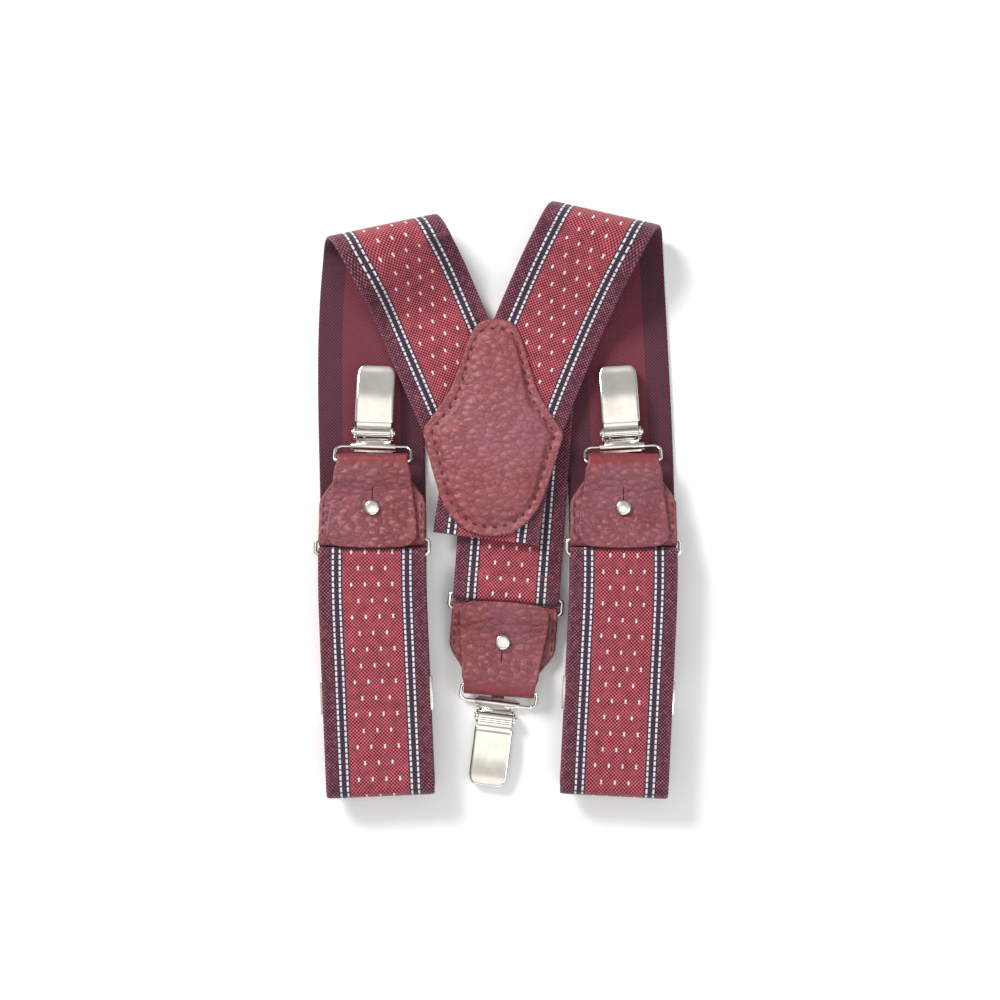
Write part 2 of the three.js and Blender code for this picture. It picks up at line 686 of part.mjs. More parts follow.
function place(name, geometry, material, matrix) {
  const bare = new THREE.BufferGeometry();
  bare.setAttribute("position", geometry.getAttribute("position").clone());
  bare.setIndex(geometry.index);
  if (matrix) bare.applyMatrix4(matrix);
  const mesh = new THREE.Mesh(bare, materials[material]);
  mesh.name = name;
  group.add(mesh);
}

const webWidth = () => WEB_WIDTH;
const strips = { left: frontStrap("left"), right: frontStrap("right"), rear: rearStrap() };
for (const [name, strip] of Object.entries(strips)) {
  place(`${name}_strap`, strip.geometry(WEB_THICK, webWidth), "webbing");
}
for (const name of ["left", "right"]) {
  place(`${name}_adjuster`, adjuster(name), "steel");
  const strap = FRONT[name];
  const here = column(strap, ADJUSTER_AT);
  pivots[`${name}_adjuster`] = { axis: [strap.side * here.down.x, -here.down.y, 0] };
}
place("yoke_back_leather", plate(yokeOutline(3.6), 0, LEATHER_THICK, LEATHER_THICK), "leather");
place("yoke_front_leather", plate(yokeOutline(0), zYoke, YOKE_THICK * 0.7, YOKE_THICK), "leather");

// Where each end hangs: its ring, its turn about Z, its slope, and how the wire loop and clip sit askew.
// The slip is how far the loop has slid in the leather; the sleeve has slid back along the loop by as much.
const ENDS = {
  front_left: {
    at: V(-columnX(FRONT.left), FRONT_END_Y, frontRingZ),
    turn: 0, slope: frontSlope, loopTurn: -0.6, clipTurn: -1.5, slip: [0, 0],
  },
  front_right: {
    at: V(columnX(FRONT.right), FRONT_END_Y, frontRingZ),
    turn: 0, slope: frontSlope, loopTurn: 2, clipTurn: 1.5, slip: [0, 0],
  },
  rear: {
    at: REAR_AT.clone().setZ(rearRingZ),
    turn: 180 - REAR_LEAN, slope: 0, loopTurn: -3.4, clipTurn: 0.5, slip: [-0.1, -0.4],
  },
};

const ringHalf = WEB_WIDTH / 2 + 0.3 + RING_WIRE / 2;
const ringGeometry = wireLoop(roundedRectangle(ringHalf, RING_PITCH, 1.2, 1.2, V(0, 1, 0)), RING_WIRE / 2, V(0, 0, 1));
const leatherGeometry = tabLeather();
const studGeometry = stud();
const loopAlong = V(0, LOOP_REACH, sleeveZ - loopZ).normalize();
const loopUp = V(0, -loopAlong.z, loopAlong.y);
const loopGeometry = wireLoop(
  roundedRectangle((LOOP_WIDTH - LOOP_WIRE) / 2, loopLength, 1.2, LOOP_CORNER, loopAlong),
  LOOP_WIRE / 2,
  loopUp,
);
const clipParts = {
  clip_base: [geometryOf(clipBase()), "steel"],
  clip_cover: [geometryOf(clipCover()), "steel"],
  clip_pin: [geometryOf(clipPin()), "steel"],
  jaw_pad: [geometryOf(clipPad()), "plastic"],
};

const move = (x, y, z) => new THREE.Matrix4().makeTranslation(x, y, z);
const spin = (degrees) => new THREE.Matrix4().makeRotationZ(rad(degrees));
for (const [name, end] of Object.entries(ENDS)) {
  const base = move(end.at.x, end.at.y, end.at.z);
  base.multiply(spin(end.turn));
  base.multiply(new THREE.Matrix4().makeRotationX(-end.slope));
  const loop = base.clone().multiply(move(end.slip[0], loopY + end.slip[1], loopZ)).multiply(spin(end.loopTurn));
  const clip = loop
    .clone()
    .multiply(move(-end.slip[0], sleeveY - loopY, sleeveZ - loopZ))
    .multiply(spin(end.clipTurn));
  place(`${name}_ring`, ringGeometry, "steel", base);
  place(`${name}_leather`, leatherGeometry, "leather", base);
  place(`${name}_stud`, studGeometry, "steel", base);
  place(`${name}_wire_loop`, loopGeometry, "steel", loop);
  for (const [part, [geometry, material]] of Object.entries(clipParts)) {
    place(`${name}_${part}`, geometry, material, clip);
  }
  const mark = (matrix, y, z) => {
    const at = V(0, y, z).applyMatrix4(matrix);
    const axis = V(1, 0, 0).transformDirection(matrix);
    return { at: at.toArray(), axis: axis.toArray() };
  };
  pivots[`${name}_ring`] = mark(base, 0, 0);
  pivots[`${name}_leather`] = mark(base, barY, 0);
  pivots[`${name}_wire_loop`] = mark(loop, 0, 0);
  pivots[`${name}_clip_base`] = mark(clip, 0, 0);
  pivots[`${name}_clip_cover`] = mark(clip, PIN_FROM_SLEEVE, 1.5);
}

// The origin goes to the middle of the underside's bounding box.
const bounds = new THREE.Box3().setFromObject(group);
const middle = bounds.getCenter(V(0, 0, 0));
const shift = V(-middle.x, -middle.y, -bounds.min.z);
group.position.copy(shift);
group.userData.pivots = pivots;
group.userData.shift = shift.toArray();

export default group;
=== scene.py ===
"""Looks for the folded suspenders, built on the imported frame.

Patterned webbing, pebbled leather with stitching, and nickel clips.
"""

import json
import math

import bmesh
import bpy
import numpy as np
from mathutils import Matrix, Vector, noise


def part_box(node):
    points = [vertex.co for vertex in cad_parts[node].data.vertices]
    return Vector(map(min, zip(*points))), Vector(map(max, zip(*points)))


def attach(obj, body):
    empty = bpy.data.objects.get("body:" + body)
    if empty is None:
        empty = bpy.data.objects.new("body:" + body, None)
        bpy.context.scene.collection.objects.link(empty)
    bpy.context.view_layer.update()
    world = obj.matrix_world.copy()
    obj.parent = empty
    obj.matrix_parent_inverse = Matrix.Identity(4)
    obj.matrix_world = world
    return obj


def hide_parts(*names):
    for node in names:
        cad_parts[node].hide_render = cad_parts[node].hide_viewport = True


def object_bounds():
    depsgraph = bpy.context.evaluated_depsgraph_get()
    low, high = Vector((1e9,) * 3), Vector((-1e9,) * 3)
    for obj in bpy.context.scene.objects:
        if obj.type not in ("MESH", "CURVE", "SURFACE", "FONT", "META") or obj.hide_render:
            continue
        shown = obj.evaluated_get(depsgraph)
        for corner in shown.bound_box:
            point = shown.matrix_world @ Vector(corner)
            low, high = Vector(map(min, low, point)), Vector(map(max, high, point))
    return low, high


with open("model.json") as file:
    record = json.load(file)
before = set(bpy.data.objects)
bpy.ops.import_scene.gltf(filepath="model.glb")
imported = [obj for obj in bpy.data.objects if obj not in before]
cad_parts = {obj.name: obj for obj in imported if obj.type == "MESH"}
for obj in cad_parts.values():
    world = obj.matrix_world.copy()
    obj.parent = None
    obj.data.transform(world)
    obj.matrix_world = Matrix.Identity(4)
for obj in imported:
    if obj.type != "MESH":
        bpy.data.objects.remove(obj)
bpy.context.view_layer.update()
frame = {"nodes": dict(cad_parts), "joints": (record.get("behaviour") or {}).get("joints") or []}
MM = 0.001
JOINTS = {joint["name"]: joint for joint in frame["joints"]}
ENDS = ("front_left", "front_right", "rear")

# Sizes in millimetres, as in the CAD model.
WEB_WIDTH, WEB_THICK = 35.0, 1.3
LEATHER = 1.3
RING_WIRE, LOOP_WIRE = 1.4, 1.1
RING_CLEAR, FOLD_CLEAR = 0.25, 0.6
TAB_FOLD, TAB_FLAP, TAB_WING = 23.2, 29.6, 34.8
FLAP_OVERHANG, FLAP_CORNER = 3.1, 4.2
STUD_FROM_BAR, STUD_HEAD, STUD_NECK = 10.2, 5.2, 2.2
CLIP_WIDTH, CLIP_LENGTH = 12.7, 26.8
PIN_Y, PIN_Z = 4.5, 1.5
LOOP_WIDTH, LOOP_CORNER = 26.0, 2.3
RING_ROOM, WIRE_CORNER = 0.3, 1.2
GAP = 0.1  # between touching layers of leather

# Sizes in millimetres that only the looks have.
YOKE_BACK_INSET = 3.6
YOKE_SEAM_INSET, YOKE_SEAM_PITCH = 3.1, 3.4
UNDER_REACH = 13.0  # how far a leather end's under layer runs on past the ring
SLIT_HALF, SLIT_BELOW, SLIT_ABOVE = 0.16, 0.2, 7.0
COVER_START, COVER_SHEET = 7.75, 0.45
TONGUE_RADIUS = 1.28


def smooth(t):
    """Eased from 0 to 1, and flat beyond them."""
    t = np.clip(t, 0.0, 1.0)
    return t * t * (3 - 2 * t)


def mix(a, b, t):
    return a + (b - a) * t


# ---------------------------------------------------------------- materials


def srgb(r, g, b):
    """A colour given as 0 to 255 sRGB, in linear light."""

    def channel(c):
        c /= 255
        return c / 12.92 if c <= 0.04045 else ((c + 0.055) / 1.055) ** 2.4

    return (channel(r), channel(g), channel(b), 1.0)


class Shader:
    """A material's nodes, with short calls for maths and mixes."""

    def __init__(self, name, **sockets):
        self.material = bpy.data.materials.new(name)
        self.material.use_nodes = True
        self.tree = self.material.node_tree
        self.bsdf = self.tree.nodes["Principled BSDF"]
        for key, value in sockets.items():
            self.bsdf.inputs[key.replace("_", " ")].default_value = value

    def node(self, kind, **values):
        made = self.tree.nodes.new(kind)
        for key, value in values.items():
            setattr(made, key, value)
        return made

    def link(self, source, target):
        if isinstance(source, (int, float, tuple)):
            target.default_value = source
        else:
            self.tree.links.new(source, target)

    def value(self, name):
        return self.node("ShaderNodeAttribute", attribute_name=name).outputs["Fac"]

    def maths(self, kind, a, b=0.0):
        made = self.node("ShaderNodeMath", operation=kind)
        for source, target in zip((a, b), made.inputs):
            self.link(source, target)
        return made.outputs[0]

    def ramp(self, value, low, high):
        """0 at low and under, 1 at high and over."""
        made = self.node("ShaderNodeMapRange", clamp=True)
        self.link(value, made.inputs["Value"])
        self.link(low, made.inputs["From Min"])
        self.link(high, made.inputs["From Max"])
        return made.outputs["Result"]

    def blend(self, share, a, b):
        made = self.node("ShaderNodeMix", data_type="RGBA")
        self.link(share, made.inputs[0])
        self.link(a, made.inputs[6])
        self.link(b, made.inputs[7])
        return made.outputs[2]

    def place(self):
        return self.node("ShaderNodeTexCoord").outputs["Object"]

    def noise(self, scale, detail=3.0, rough=0.55, at=None):
        made = self.node("ShaderNodeTexNoise")
        self.link(at or self.place(), made.inputs["Vector"])
        made.inputs["Scale"].default_value = scale
        made.inputs["Detail"].default_value = detail
        made.inputs["Roughness"].default_value = rough
        return made.outputs["Fac"]

    def bump(self, height, distance, strength):
        made = self.node("ShaderNodeBump")
        made.inputs["Strength"].default_value = strength
        made.inputs["Distance"].default_value = distance
        self.link(height, made.inputs["Height"])
        return made.outputs["Normal"]

    def finish(self, colour, rough, normal):
        for source, name in ((colour, "Base Color"), (rough, "Roughness"), (normal, "Normal")):
            self.link(source, self.bsdf.inputs[name])
        return self.material


# The woven pattern, in millimetres along the strap or out from its middle line.
CHECK_PITCH, RIB_PITCH = 1.16, 0.95
FIELD_HALF, BORDER_FROM, SELVAGE_FROM = 9.5, 13.0, 16.2
BAND_AT, BAND_HALF = 11.5, 1.95
LINE_OFFSET, LINE_HALF = 1.12, 0.34
DASH_PITCH, DASH_SHARE = 1.78, 0.37
DOT_ROW, DOT_COLUMN, DOT_FIELD_HALF = 5.25, 4.45, 7.6
WHOLE_CELLS = 100.5  # keeps the count of columns above zero, half a column off the middle


def webbing_material():
    """Bird's-eye jacquard: crimson field with pin dots, navy bands with two dashed lines, plum borders."""
    s = Shader("webbing_jacquard", Sheen_Weight=0.25, Sheen_Roughness=0.5)
    s.bsdf.inputs["Specular IOR Level"].default_value = 0.25
    along = s.maths("MULTIPLY", s.value("along"), 1 / MM)
    across = s.maths("MULTIPLY", s.value("across"), 1 / MM)
    off = s.maths("ABSOLUTE", across)
    face = s.ramp(s.value("side"), -0.2, 0.2)

    def wave(value, period):
        return s.maths("SINE", s.maths("MULTIPLY", value, 2 * math.pi / period))

    def inside(value, centre, half, edge=0.12):
        gap = s.maths("ABSOLUTE", s.maths("SUBTRACT", value, centre))
        return s.ramp(gap, half + edge / 2, half - edge / 2)

    check = s.maths("MULTIPLY", wave(along, CHECK_PITCH), wave(across, CHECK_PITCH))
    tone = s.noise(350.0, 2.0)
    uneven = s.maths("MULTIPLY", s.maths("SUBTRACT", tone, 0.5), 0.9)
    weave = s.ramp(s.maths("ADD", check, uneven), -0.45, 0.75)
    fine = s.noise(1600.0, 2.0, 0.6)
    fleck = s.ramp(s.maths("MULTIPLY", weave, s.noise(700.0, 1.0)), 0.3, 0.55)

    crimson = s.blend(weave, srgb(66, 4, 14), srgb(214, 100, 116))
    plum = s.blend(weave, srgb(40, 14, 26), srgb(116, 58, 76))
    plum = s.blend(s.maths("MULTIPLY", fleck, 0.6), plum, srgb(196, 110, 130))
    navy = s.blend(weave, srgb(24, 18, 36), srgb(80, 60, 84))
    band = inside(off, BAND_AT, BAND_HALF)
    field = s.ramp(off, FIELD_HALF + 0.25, FIELD_HALF)
    colour = s.blend(band, s.blend(field, plum, crimson), navy)

    outer, inner = (inside(off, BAND_AT + way * LINE_OFFSET, LINE_HALF) for way in (1, -1))
    beat = s.maths("FRACT", s.maths("DIVIDE", along, DASH_PITCH))
    dash = s.maths("MULTIPLY", s.maths("MAXIMUM", outer, inner), inside(beat, 0.5, DASH_SHARE))

    row = s.maths("DIVIDE", along, DOT_ROW)
    odd = s.maths("MODULO", s.maths("FLOOR", row), 2.0)
    shifted = s.maths("ADD", s.maths("DIVIDE", across, DOT_COLUMN), s.maths("MULTIPLY", odd, 0.5))
    cell = s.maths("FRACT", s.maths("ADD", shifted, WHOLE_CELLS))
    dot = s.maths("MULTIPLY", inside(cell, 0.5, 0.07, 0.04), inside(s.maths("FRACT", row), 0.5, 0.125, 0.03))
    dot = s.maths("MULTIPLY", dot, s.ramp(off, DOT_FIELD_HALF + 0.2, DOT_FIELD_HALF))

    white = s.maths("MULTIPLY", s.maths("MAXIMUM", dash, dot), face)
    thread = s.blend(fine, srgb(196, 188, 192), srgb(250, 247, 246))
    front = s.blend(white, colour, thread)

    rib = s.ramp(wave(along, RIB_PITCH), -0.8, 0.8)
    selvage = s.maths("MULTIPLY", s.ramp(off, SELVAGE_FROM, SELVAGE_FROM + 0.7), rib)
    front = s.blend(s.maths("MULTIPLY", selvage, 0.35), front, srgb(140, 86, 104))

    # The reverse has the warp floats sunk in it: the same bands, duller, and no white.
    border = s.ramp(off, BORDER_FROM, BORDER_FROM + 0.6)
    back = s.blend(s.maths("MAXIMUM", band, border), srgb(100, 40, 54), srgb(58, 30, 46))
    back = s.blend(s.maths("MULTIPLY", weave, 0.45), back, srgb(136, 66, 80))
    whole = s.blend(face, back, front)
    cast = s.ramp(s.noise(60.0, 3.0), 0.3, 0.7)
    whole = s.blend(s.maths("MULTIPLY", cast, 0.12), whole, srgb(70, 20, 34))

    height = s.maths("ADD", weave, s.maths("MULTIPLY", s.maths("MAXIMUM", white, selvage), 0.9))
    height = s.maths("ADD", height, s.maths("MULTIPLY", fine, 0.5))
    rough = s.maths("ADD", 0.72, s.maths("MULTIPLY", tone, 0.2))
    return s.finish(whole, rough, s.bump(height, 0.00016, 0.8))


GRAINS, SMALL_GRAINS = 310.0, 850.0  # in a metre
LEATHER_DRIFT = 0.0016


def leather_material(name, light, dark, crease_shade):
    """Pebbled leather: rounded grains between fine creases painted darker as shade, a little sheen on top of
    the grain.
    """
    s = Shader(name, Coat_Weight=0.08, Coat_Roughness=0.4)
    s.bsdf.inputs["Specular IOR Level"].default_value = 0.48
    place = s.place()
    warp = s.node("ShaderNodeVectorMath", operation="MULTIPLY_ADD")
    drift = s.node("ShaderNodeTexNoise")
    drift.inputs["Scale"].default_value = 260.0
    s.link(place, drift.inputs["Vector"])
    s.link(drift.outputs["Color"], warp.inputs[0])
    s.link((LEATHER_DRIFT,) * 3, warp.inputs[1])
    s.link(place, warp.inputs[2])

    squeeze = s.node("ShaderNodeMapping")
    squeeze.inputs["Scale"].default_value = (1.0, 1.5, 1.5)
    s.link(warp.outputs[0], squeeze.inputs["Vector"])

    def grain(scale, kind):
        made = s.node("ShaderNodeTexVoronoi", feature=kind)
        made.inputs["Scale"].default_value = scale
        if kind == "SMOOTH_F1":
            made.inputs["Smoothness"].default_value = 0.3
        s.link(squeeze.outputs["Vector"], made.inputs["Vector"])
        return made.outputs["Distance"]

    coarse = s.ramp(grain(GRAINS, "SMOOTH_F1"), 0.7, 0.12)
    small = s.ramp(grain(SMALL_GRAINS, "SMOOTH_F1"), 0.7, 0.12)
    crease_shade_mask = s.ramp(grain(GRAINS, "DISTANCE_TO_EDGE"), 0.13, 0.0)
    blotch = s.noise(110.0, 4.0, 0.6)
    pores = s.noise(3200.0, 2.0, 0.6)
    tone = s.blend(s.ramp(blotch, 0.3, 0.7), dark, light)
    # Painted shade: the creases between the grains are darkened towards the crease colour.
    tone = s.blend(s.maths("MULTIPLY", crease_shade_mask, 0.6), tone, crease_shade)
    bloom = s.maths("MULTIPLY", s.ramp(s.noise(45.0, 2.0), 0.45, 0.7), 0.14)
    colour = s.blend(bloom, tone, srgb(150, 112, 140))
    worn = s.value("worn")
    colour = s.blend(s.maths("MULTIPLY", worn, 0.75), colour, srgb(122, 36, 44))
    height = s.maths("ADD", s.maths("MULTIPLY", coarse, 0.8), s.maths("MULTIPLY", small, 0.12))
    height = s.maths("ADD", height, s.maths("MULTIPLY", pores, 0.03))
    height = s.maths("MULTIPLY", height, s.maths("SUBTRACT", 1.0, s.maths("MULTIPLY", worn, 0.7)))
    rough = s.ramp(s.maths("ADD", blotch, s.maths("MULTIPLY", coarse, -0.2)), -0.4, 1.6)
    rough = s.maths("ADD", 0.38, s.maths("MULTIPLY", rough, 0.36))
    return s.finish(colour, rough, s.bump(height, 0.0009, 0.75))


def nickel_material(name, colour, rough, worn):
    """Polished nickel plate with fine wipe marks and a slight orange peel."""
    s = Shader(name, Metallic=1.0)
    place = s.place()
    stretch = s.node("ShaderNodeMapping")
    stretch.inputs["Scale"].default_value = (1.0, 0.06, 1.0)
    s.link(place, stretch.inputs["Vector"])
    wipes = s.noise(5200.0, 2.0, 0.7, stretch.outputs["Vector"])
    smear = s.noise(220.0, 3.0, 0.6)
    tint = s.blend(s.ramp(smear, 0.35, 0.75), colour, worn)
    polish = s.maths("ADD", rough, s.maths("MULTIPLY", s.maths("ADD", smear, wipes), 0.07))
    height = s.maths("ADD", s.noise(420.0, 2.0), s.maths("MULTIPLY", wipes, 0.15))
    return s.finish(tint, polish, s.bump(height, 0.00002, 0.35))


def thread_material(name, colour, shade):
    """Twisted thread: a fine helical twill over a soft fibre."""
    s = Shader(name, Sheen_Weight=0.3)
    twist = s.node("ShaderNodeTexWave", wave_type="BANDS", bands_direction="DIAGONAL")
    twist.inputs["Scale"].default_value = 900.0
    s.link(s.place(), twist.inputs["Vector"])
    tone = s.blend(s.maths("MULTIPLY", twist.outputs["Fac"], 0.7), colour, shade)
    return s.finish(tone, 0.75, s.bump(twist.outputs["Fac"], 0.00006, 0.7))


def rubber_material():
    """Dull black rubber with fine specks."""
    s = Shader("jaw_rubber")
    speck = s.noise(2400.0, 2.0)
    tone = s.blend(speck, srgb(22, 22, 24), srgb(44, 44, 48))
    return s.finish(tone, s.maths("ADD", 0.45, s.maths("MULTIPLY", speck, 0.25)), s.bump(speck, 0.00004, 0.5))


def floor_material():
    """Matt near-white paper."""
    s = Shader("pale_floor")
    tone = s.blend(s.noise(30.0, 3.0), srgb(246, 246, 247), srgb(250, 250, 250))
    return s.finish(tone, 0.9, s.bump(s.noise(900.0), 0.00002, 0.2))


WEBBING = webbing_material()
# The last colour of each leather is the painted shade in its creases.
YOKE = leather_material("yoke_leather", srgb(149, 79, 84), srgb(133, 64, 70), srgb(94, 34, 40))
TAB = leather_material("tab_leather", srgb(137, 68, 73), srgb(117, 50, 56), srgb(82, 26, 32))
NICKEL = nickel_material("nickel_polished", (0.86, 0.84, 0.80, 1), 0.1, (0.76, 0.73, 0.68, 1))
WIRE = nickel_material("nickel_wire", (0.88, 0.86, 0.82, 1), 0.14, (0.78, 0.75, 0.70, 1))
THREAD = thread_material("stitch_thread", srgb(94, 18, 28), srgb(52, 6, 14))
SEAM = thread_material("seam_thread", srgb(168, 62, 76), srgb(120, 34, 48))
RUBBER = rubber_material()

# ---------------------------------------------------------------- mesh helpers


def piece(name, points, faces, material, body, slot, nodes=(), **attributes):
    """A new mesh, smooth shaded, riding on a body and standing for CAD nodes."""
    mesh = bpy.data.meshes.new(name)
    mesh.from_pydata([tuple(p) for p in points], [], faces)
    for key, values in attributes.items():
        mesh.attributes.new(key, "FLOAT", "POINT").data.foreach_set("value", np.asarray(values, np.float32))
    work = bmesh.new()
    work.from_mesh(mesh)
    bmesh.ops.recalc_face_normals(work, faces=work.faces)
    work.to_mesh(mesh)
    work.free()
    mesh.shade_smooth()
    mesh.set_sharp_from_angle(angle=math.radians(50))
    mesh.materials.append(material)
    obj = bpy.data.objects.new(name, mesh)
    bpy.context.collection.objects.link(obj)
    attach(obj, body)
    if nodes:
        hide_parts(*nodes)
    return obj


def loops(rings, closed=False):
    """Points and faces of a skin through rings of points, capped unless it closes on itself."""
    rings = np.asarray(rings, float)
    count, size = rings.shape[:2]
    faces = []
    for i in range(count if closed else count - 1):
        j = (i + 1) % count
        for k in range(size):
            m = (k + 1) % size
            faces.append((i * size + k, i * size + m, j * size + m, j * size + k))
    if not closed:
        faces.append(tuple(range(size))[::-1])
        faces.append(tuple((count - 1) * size + k for k in range(size)))
    return rings.reshape(-1, 3), faces


def bake(obj, kind, **values):
    """Applies one modifier to the mesh."""
    made = obj.modifiers.new(kind.title(), kind)
    for key, value in values.items():
        setattr(made, key, value)
    graph = bpy.context.evaluated_depsgraph_get()
    mesh = bpy.data.meshes.new_from_object(obj.evaluated_get(graph))
    obj.modifiers.clear()
    obj.data = mesh


def refined(node, material, body, bevel):
    """The CAD node's own shape with softened edges, as a piece of its own."""
    mesh = frame["nodes"][node].data.copy()
    work = bmesh.new()
    work.from_mesh(mesh)
    bmesh.ops.remove_doubles(work, verts=work.verts, dist=2e-6)
    bmesh.ops.dissolve_limit(work, angle_limit=math.radians(1), verts=work.verts, edges=work.edges)
    work.to_mesh(mesh)
    work.free()
    mesh.materials.clear()
    mesh.materials.append(material)
    obj = bpy.data.objects.new(node + "_finished", mesh)
    bpy.context.collection.objects.link(obj)
    bake(obj, "BEVEL", width=bevel * MM, segments=2, limit_method="ANGLE", angle_limit=math.radians(40))
    obj.data.shade_smooth()
    obj.data.set_sharp_from_angle(angle=math.radians(42))
    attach(obj, body)
    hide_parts(node)


def local_frame(origin, across, towards):
    """A matrix with X along a joint's axis and Y towards a point, in metres."""
    x = Vector(across).normalized()
    y = Vector(towards) - Vector(origin)
    y = (y - x * y.dot(x)).normalized()
    turn = Matrix((x, y, x.cross(y))).transposed().to_4x4()
    return Matrix.Translation(origin) @ turn


def placed(matrix, points):
    """Local millimetres to metres in the scene."""
    grid = np.asarray(points, float)
    flat = grid.reshape(-1, 3) * MM
    world = flat @ np.array(matrix.to_3x3()).T + np.array(matrix.translation)
    return world.reshape(grid.shape)


# ---------------------------------------------------------------- webbing


def welded(mesh):
    """The mesh's separate corners, and for each of them the corners that an edge joins it to."""
    ids, index = {}, []
    for vertex in mesh.vertices:
        key = tuple(round(c * 1e6) for c in vertex.co)
        index.append(ids.setdefault(key, len(ids)))
    points = np.array(list(ids), float) * 1e-6
    links = [set() for _ in points]
    for edge in mesh.edges:
        a, b = (index[v] for v in edge.vertices)
        if a != b:
            links[a].add(b)
            links[b].add(a)
    return points, links


def end_ring(points, links):
    """The four corners of one end of a strip, in order round it."""
    tips = [i for i, near in enumerate(links) if len(near) < 6]
    start = max(tips, key=lambda i: points[i][1])
    cap = [start] + [i for i in tips if i != start and i in links[start]]
    cap += [i for i in tips if i not in cap and len(links[i] & set(cap)) >= 2]
    cap = cap[:4]
    middle = sorted(cap, key=lambda i: -len(links[i] & set(cap)))
    return [middle[0], middle[2], middle[1], middle[3]]


def walked(ring, links, step):
    """The rings of corners from one end on. step says which way the faces' diagonals run."""
    rows, before = [ring], set()
    while True:
        now = rows[-1]
        after = set().union(*(links[i] for i in now)) - set(now) - before
        if len(after) != 4:
            return rows
        following = [None] * 4
        for i in after:
            near = [k for k in range(4) if now[k] in links[i]]
            first = near[0] if (near[0] + 1) % 4 == near[1] else near[1]
            following[(first + step) % 4] = i
        if None in following:
            return rows
        before = set(now)
        rows.append(following)


def twist(rows):
    """How far the corners travel from ring to ring, which is least where each ring is in order."""
    return np.linalg.norm(np.diff(rows, axis=0), axis=2).sum()


def stations(node):
    """A strip's sections along its CAD solid: left and right on the face, then right and left on the back."""
    points, links = welded(frame["nodes"][node].data)
    ring = end_ring(points, links)
    tries = [points[np.array(walked(ring, links, step))] for step in (0, 1)]
    longest = max(len(rows) for rows in tries)
    best = min((rows for rows in tries if len(rows) == longest), key=twist)
    if np.linalg.norm(best[0, 0] - best[0, 1]) < np.linalg.norm(best[0, 1] - best[0, 2]):
        best = np.roll(best, 1, axis=1)
    if best[0, :2, 2].mean() < best[0, 2:, 2].mean():
        best = best[:, [3, 2, 1, 0]]
    return best


def eased(values, at, wanted):
    """A smooth curve through rows of values, unevenly spaced."""
    gaps = np.diff(at)[:, None]
    slope = np.diff(values, axis=0) / gaps
    inner = (slope[:-1] * gaps[1:] + slope[1:] * gaps[:-1]) / (gaps[1:] + gaps[:-1])
    tangent = np.vstack([slope[:1], inner, slope[-1:]])
    cell = np.clip(np.searchsorted(at, wanted, side="right") - 1, 0, len(at) - 2)
    h = gaps[cell]
    t = ((wanted - at[cell]) / h[:, 0])[:, None]
    a, b, m, n = values[cell], values[cell + 1], tangent[cell] * h, tangent[cell + 1] * h
    start = (2 * t**3 - 3 * t**2 + 1) * a + (t**3 - 2 * t**2 + t) * m
    return start + (3 * t**2 - 2 * t**3) * b + (t**3 - t**2) * n


def distances(points):
    """How far along a line of points each of them lies."""
    return np.concatenate([[0], np.cumsum(np.linalg.norm(np.diff(points, axis=0), axis=1))])


WEB_STEP = 0.002  # metres between the sections of a woven strip, at most
WEB_SHARES = np.array([-1, -0.985, -0.95, -0.85, -0.65, -0.4, 0, 0.4, 0.65, 0.85, 0.95, 0.985, 1])
WEB_SWELL = np.array([0.45, 0.8, 0.95, 1, 1, 1, 1, 1, 1, 1, 0.95, 0.8, 0.45])
WEB_FIT = 0.96  # of the CAD thickness, so that touching layers stay apart


def webbing(name, node):
    """A strap as one woven strip, following its CAD solid. Gives its middle line and directions."""
    rows = stations(node)
    left = (rows[:, 0] + rows[:, 3]) / 2
    right = (rows[:, 1] + rows[:, 2]) / 2
    normal = rows[:, 0] + rows[:, 1] - rows[:, 2] - rows[:, 3]
    normal /= np.linalg.norm(normal, axis=1)[:, None]
    length = distances((left + right) / 2)
    along = []
    for a, b in zip(length, length[1:]):
        along.append(np.linspace(a, b, max(2, math.ceil((b - a) / WEB_STEP)), endpoint=False))
    along = np.concatenate([*along, length[-1:]])
    left, right, normal = (eased(v, length, along) for v in (left, right, normal))
    normal /= np.linalg.norm(normal, axis=1)[:, None]
    middle = (left + right) / 2
    across = right - left

    # Each section is an outline that thins towards the two selvages.
    depth = WEB_SWELL * WEB_THICK / 2 * MM * WEB_FIT
    loop_u = np.concatenate([WEB_SHARES, WEB_SHARES[::-1]])
    loop_h = np.concatenate([depth, -depth[::-1]])
    wide = across[:, None] * (loop_u / 2)[None, :, None] * 0.998
    points, faces = loops(middle[:, None] + wide + normal[:, None] * loop_h[None, :, None])
    obj = piece(
        name, points, faces, WEBBING, "webbing", "webbing", [node],
        along=np.repeat(along, len(loop_u)),
        across=np.tile(loop_u * WEB_WIDTH / 2 * MM, len(along)),
        side=np.tile(np.sign(loop_h), len(along)),
    )
    return middle, across, normal


# ---------------------------------------------------------------- stitches

STITCH_STEPS, STITCH_SIDES = 6, 6


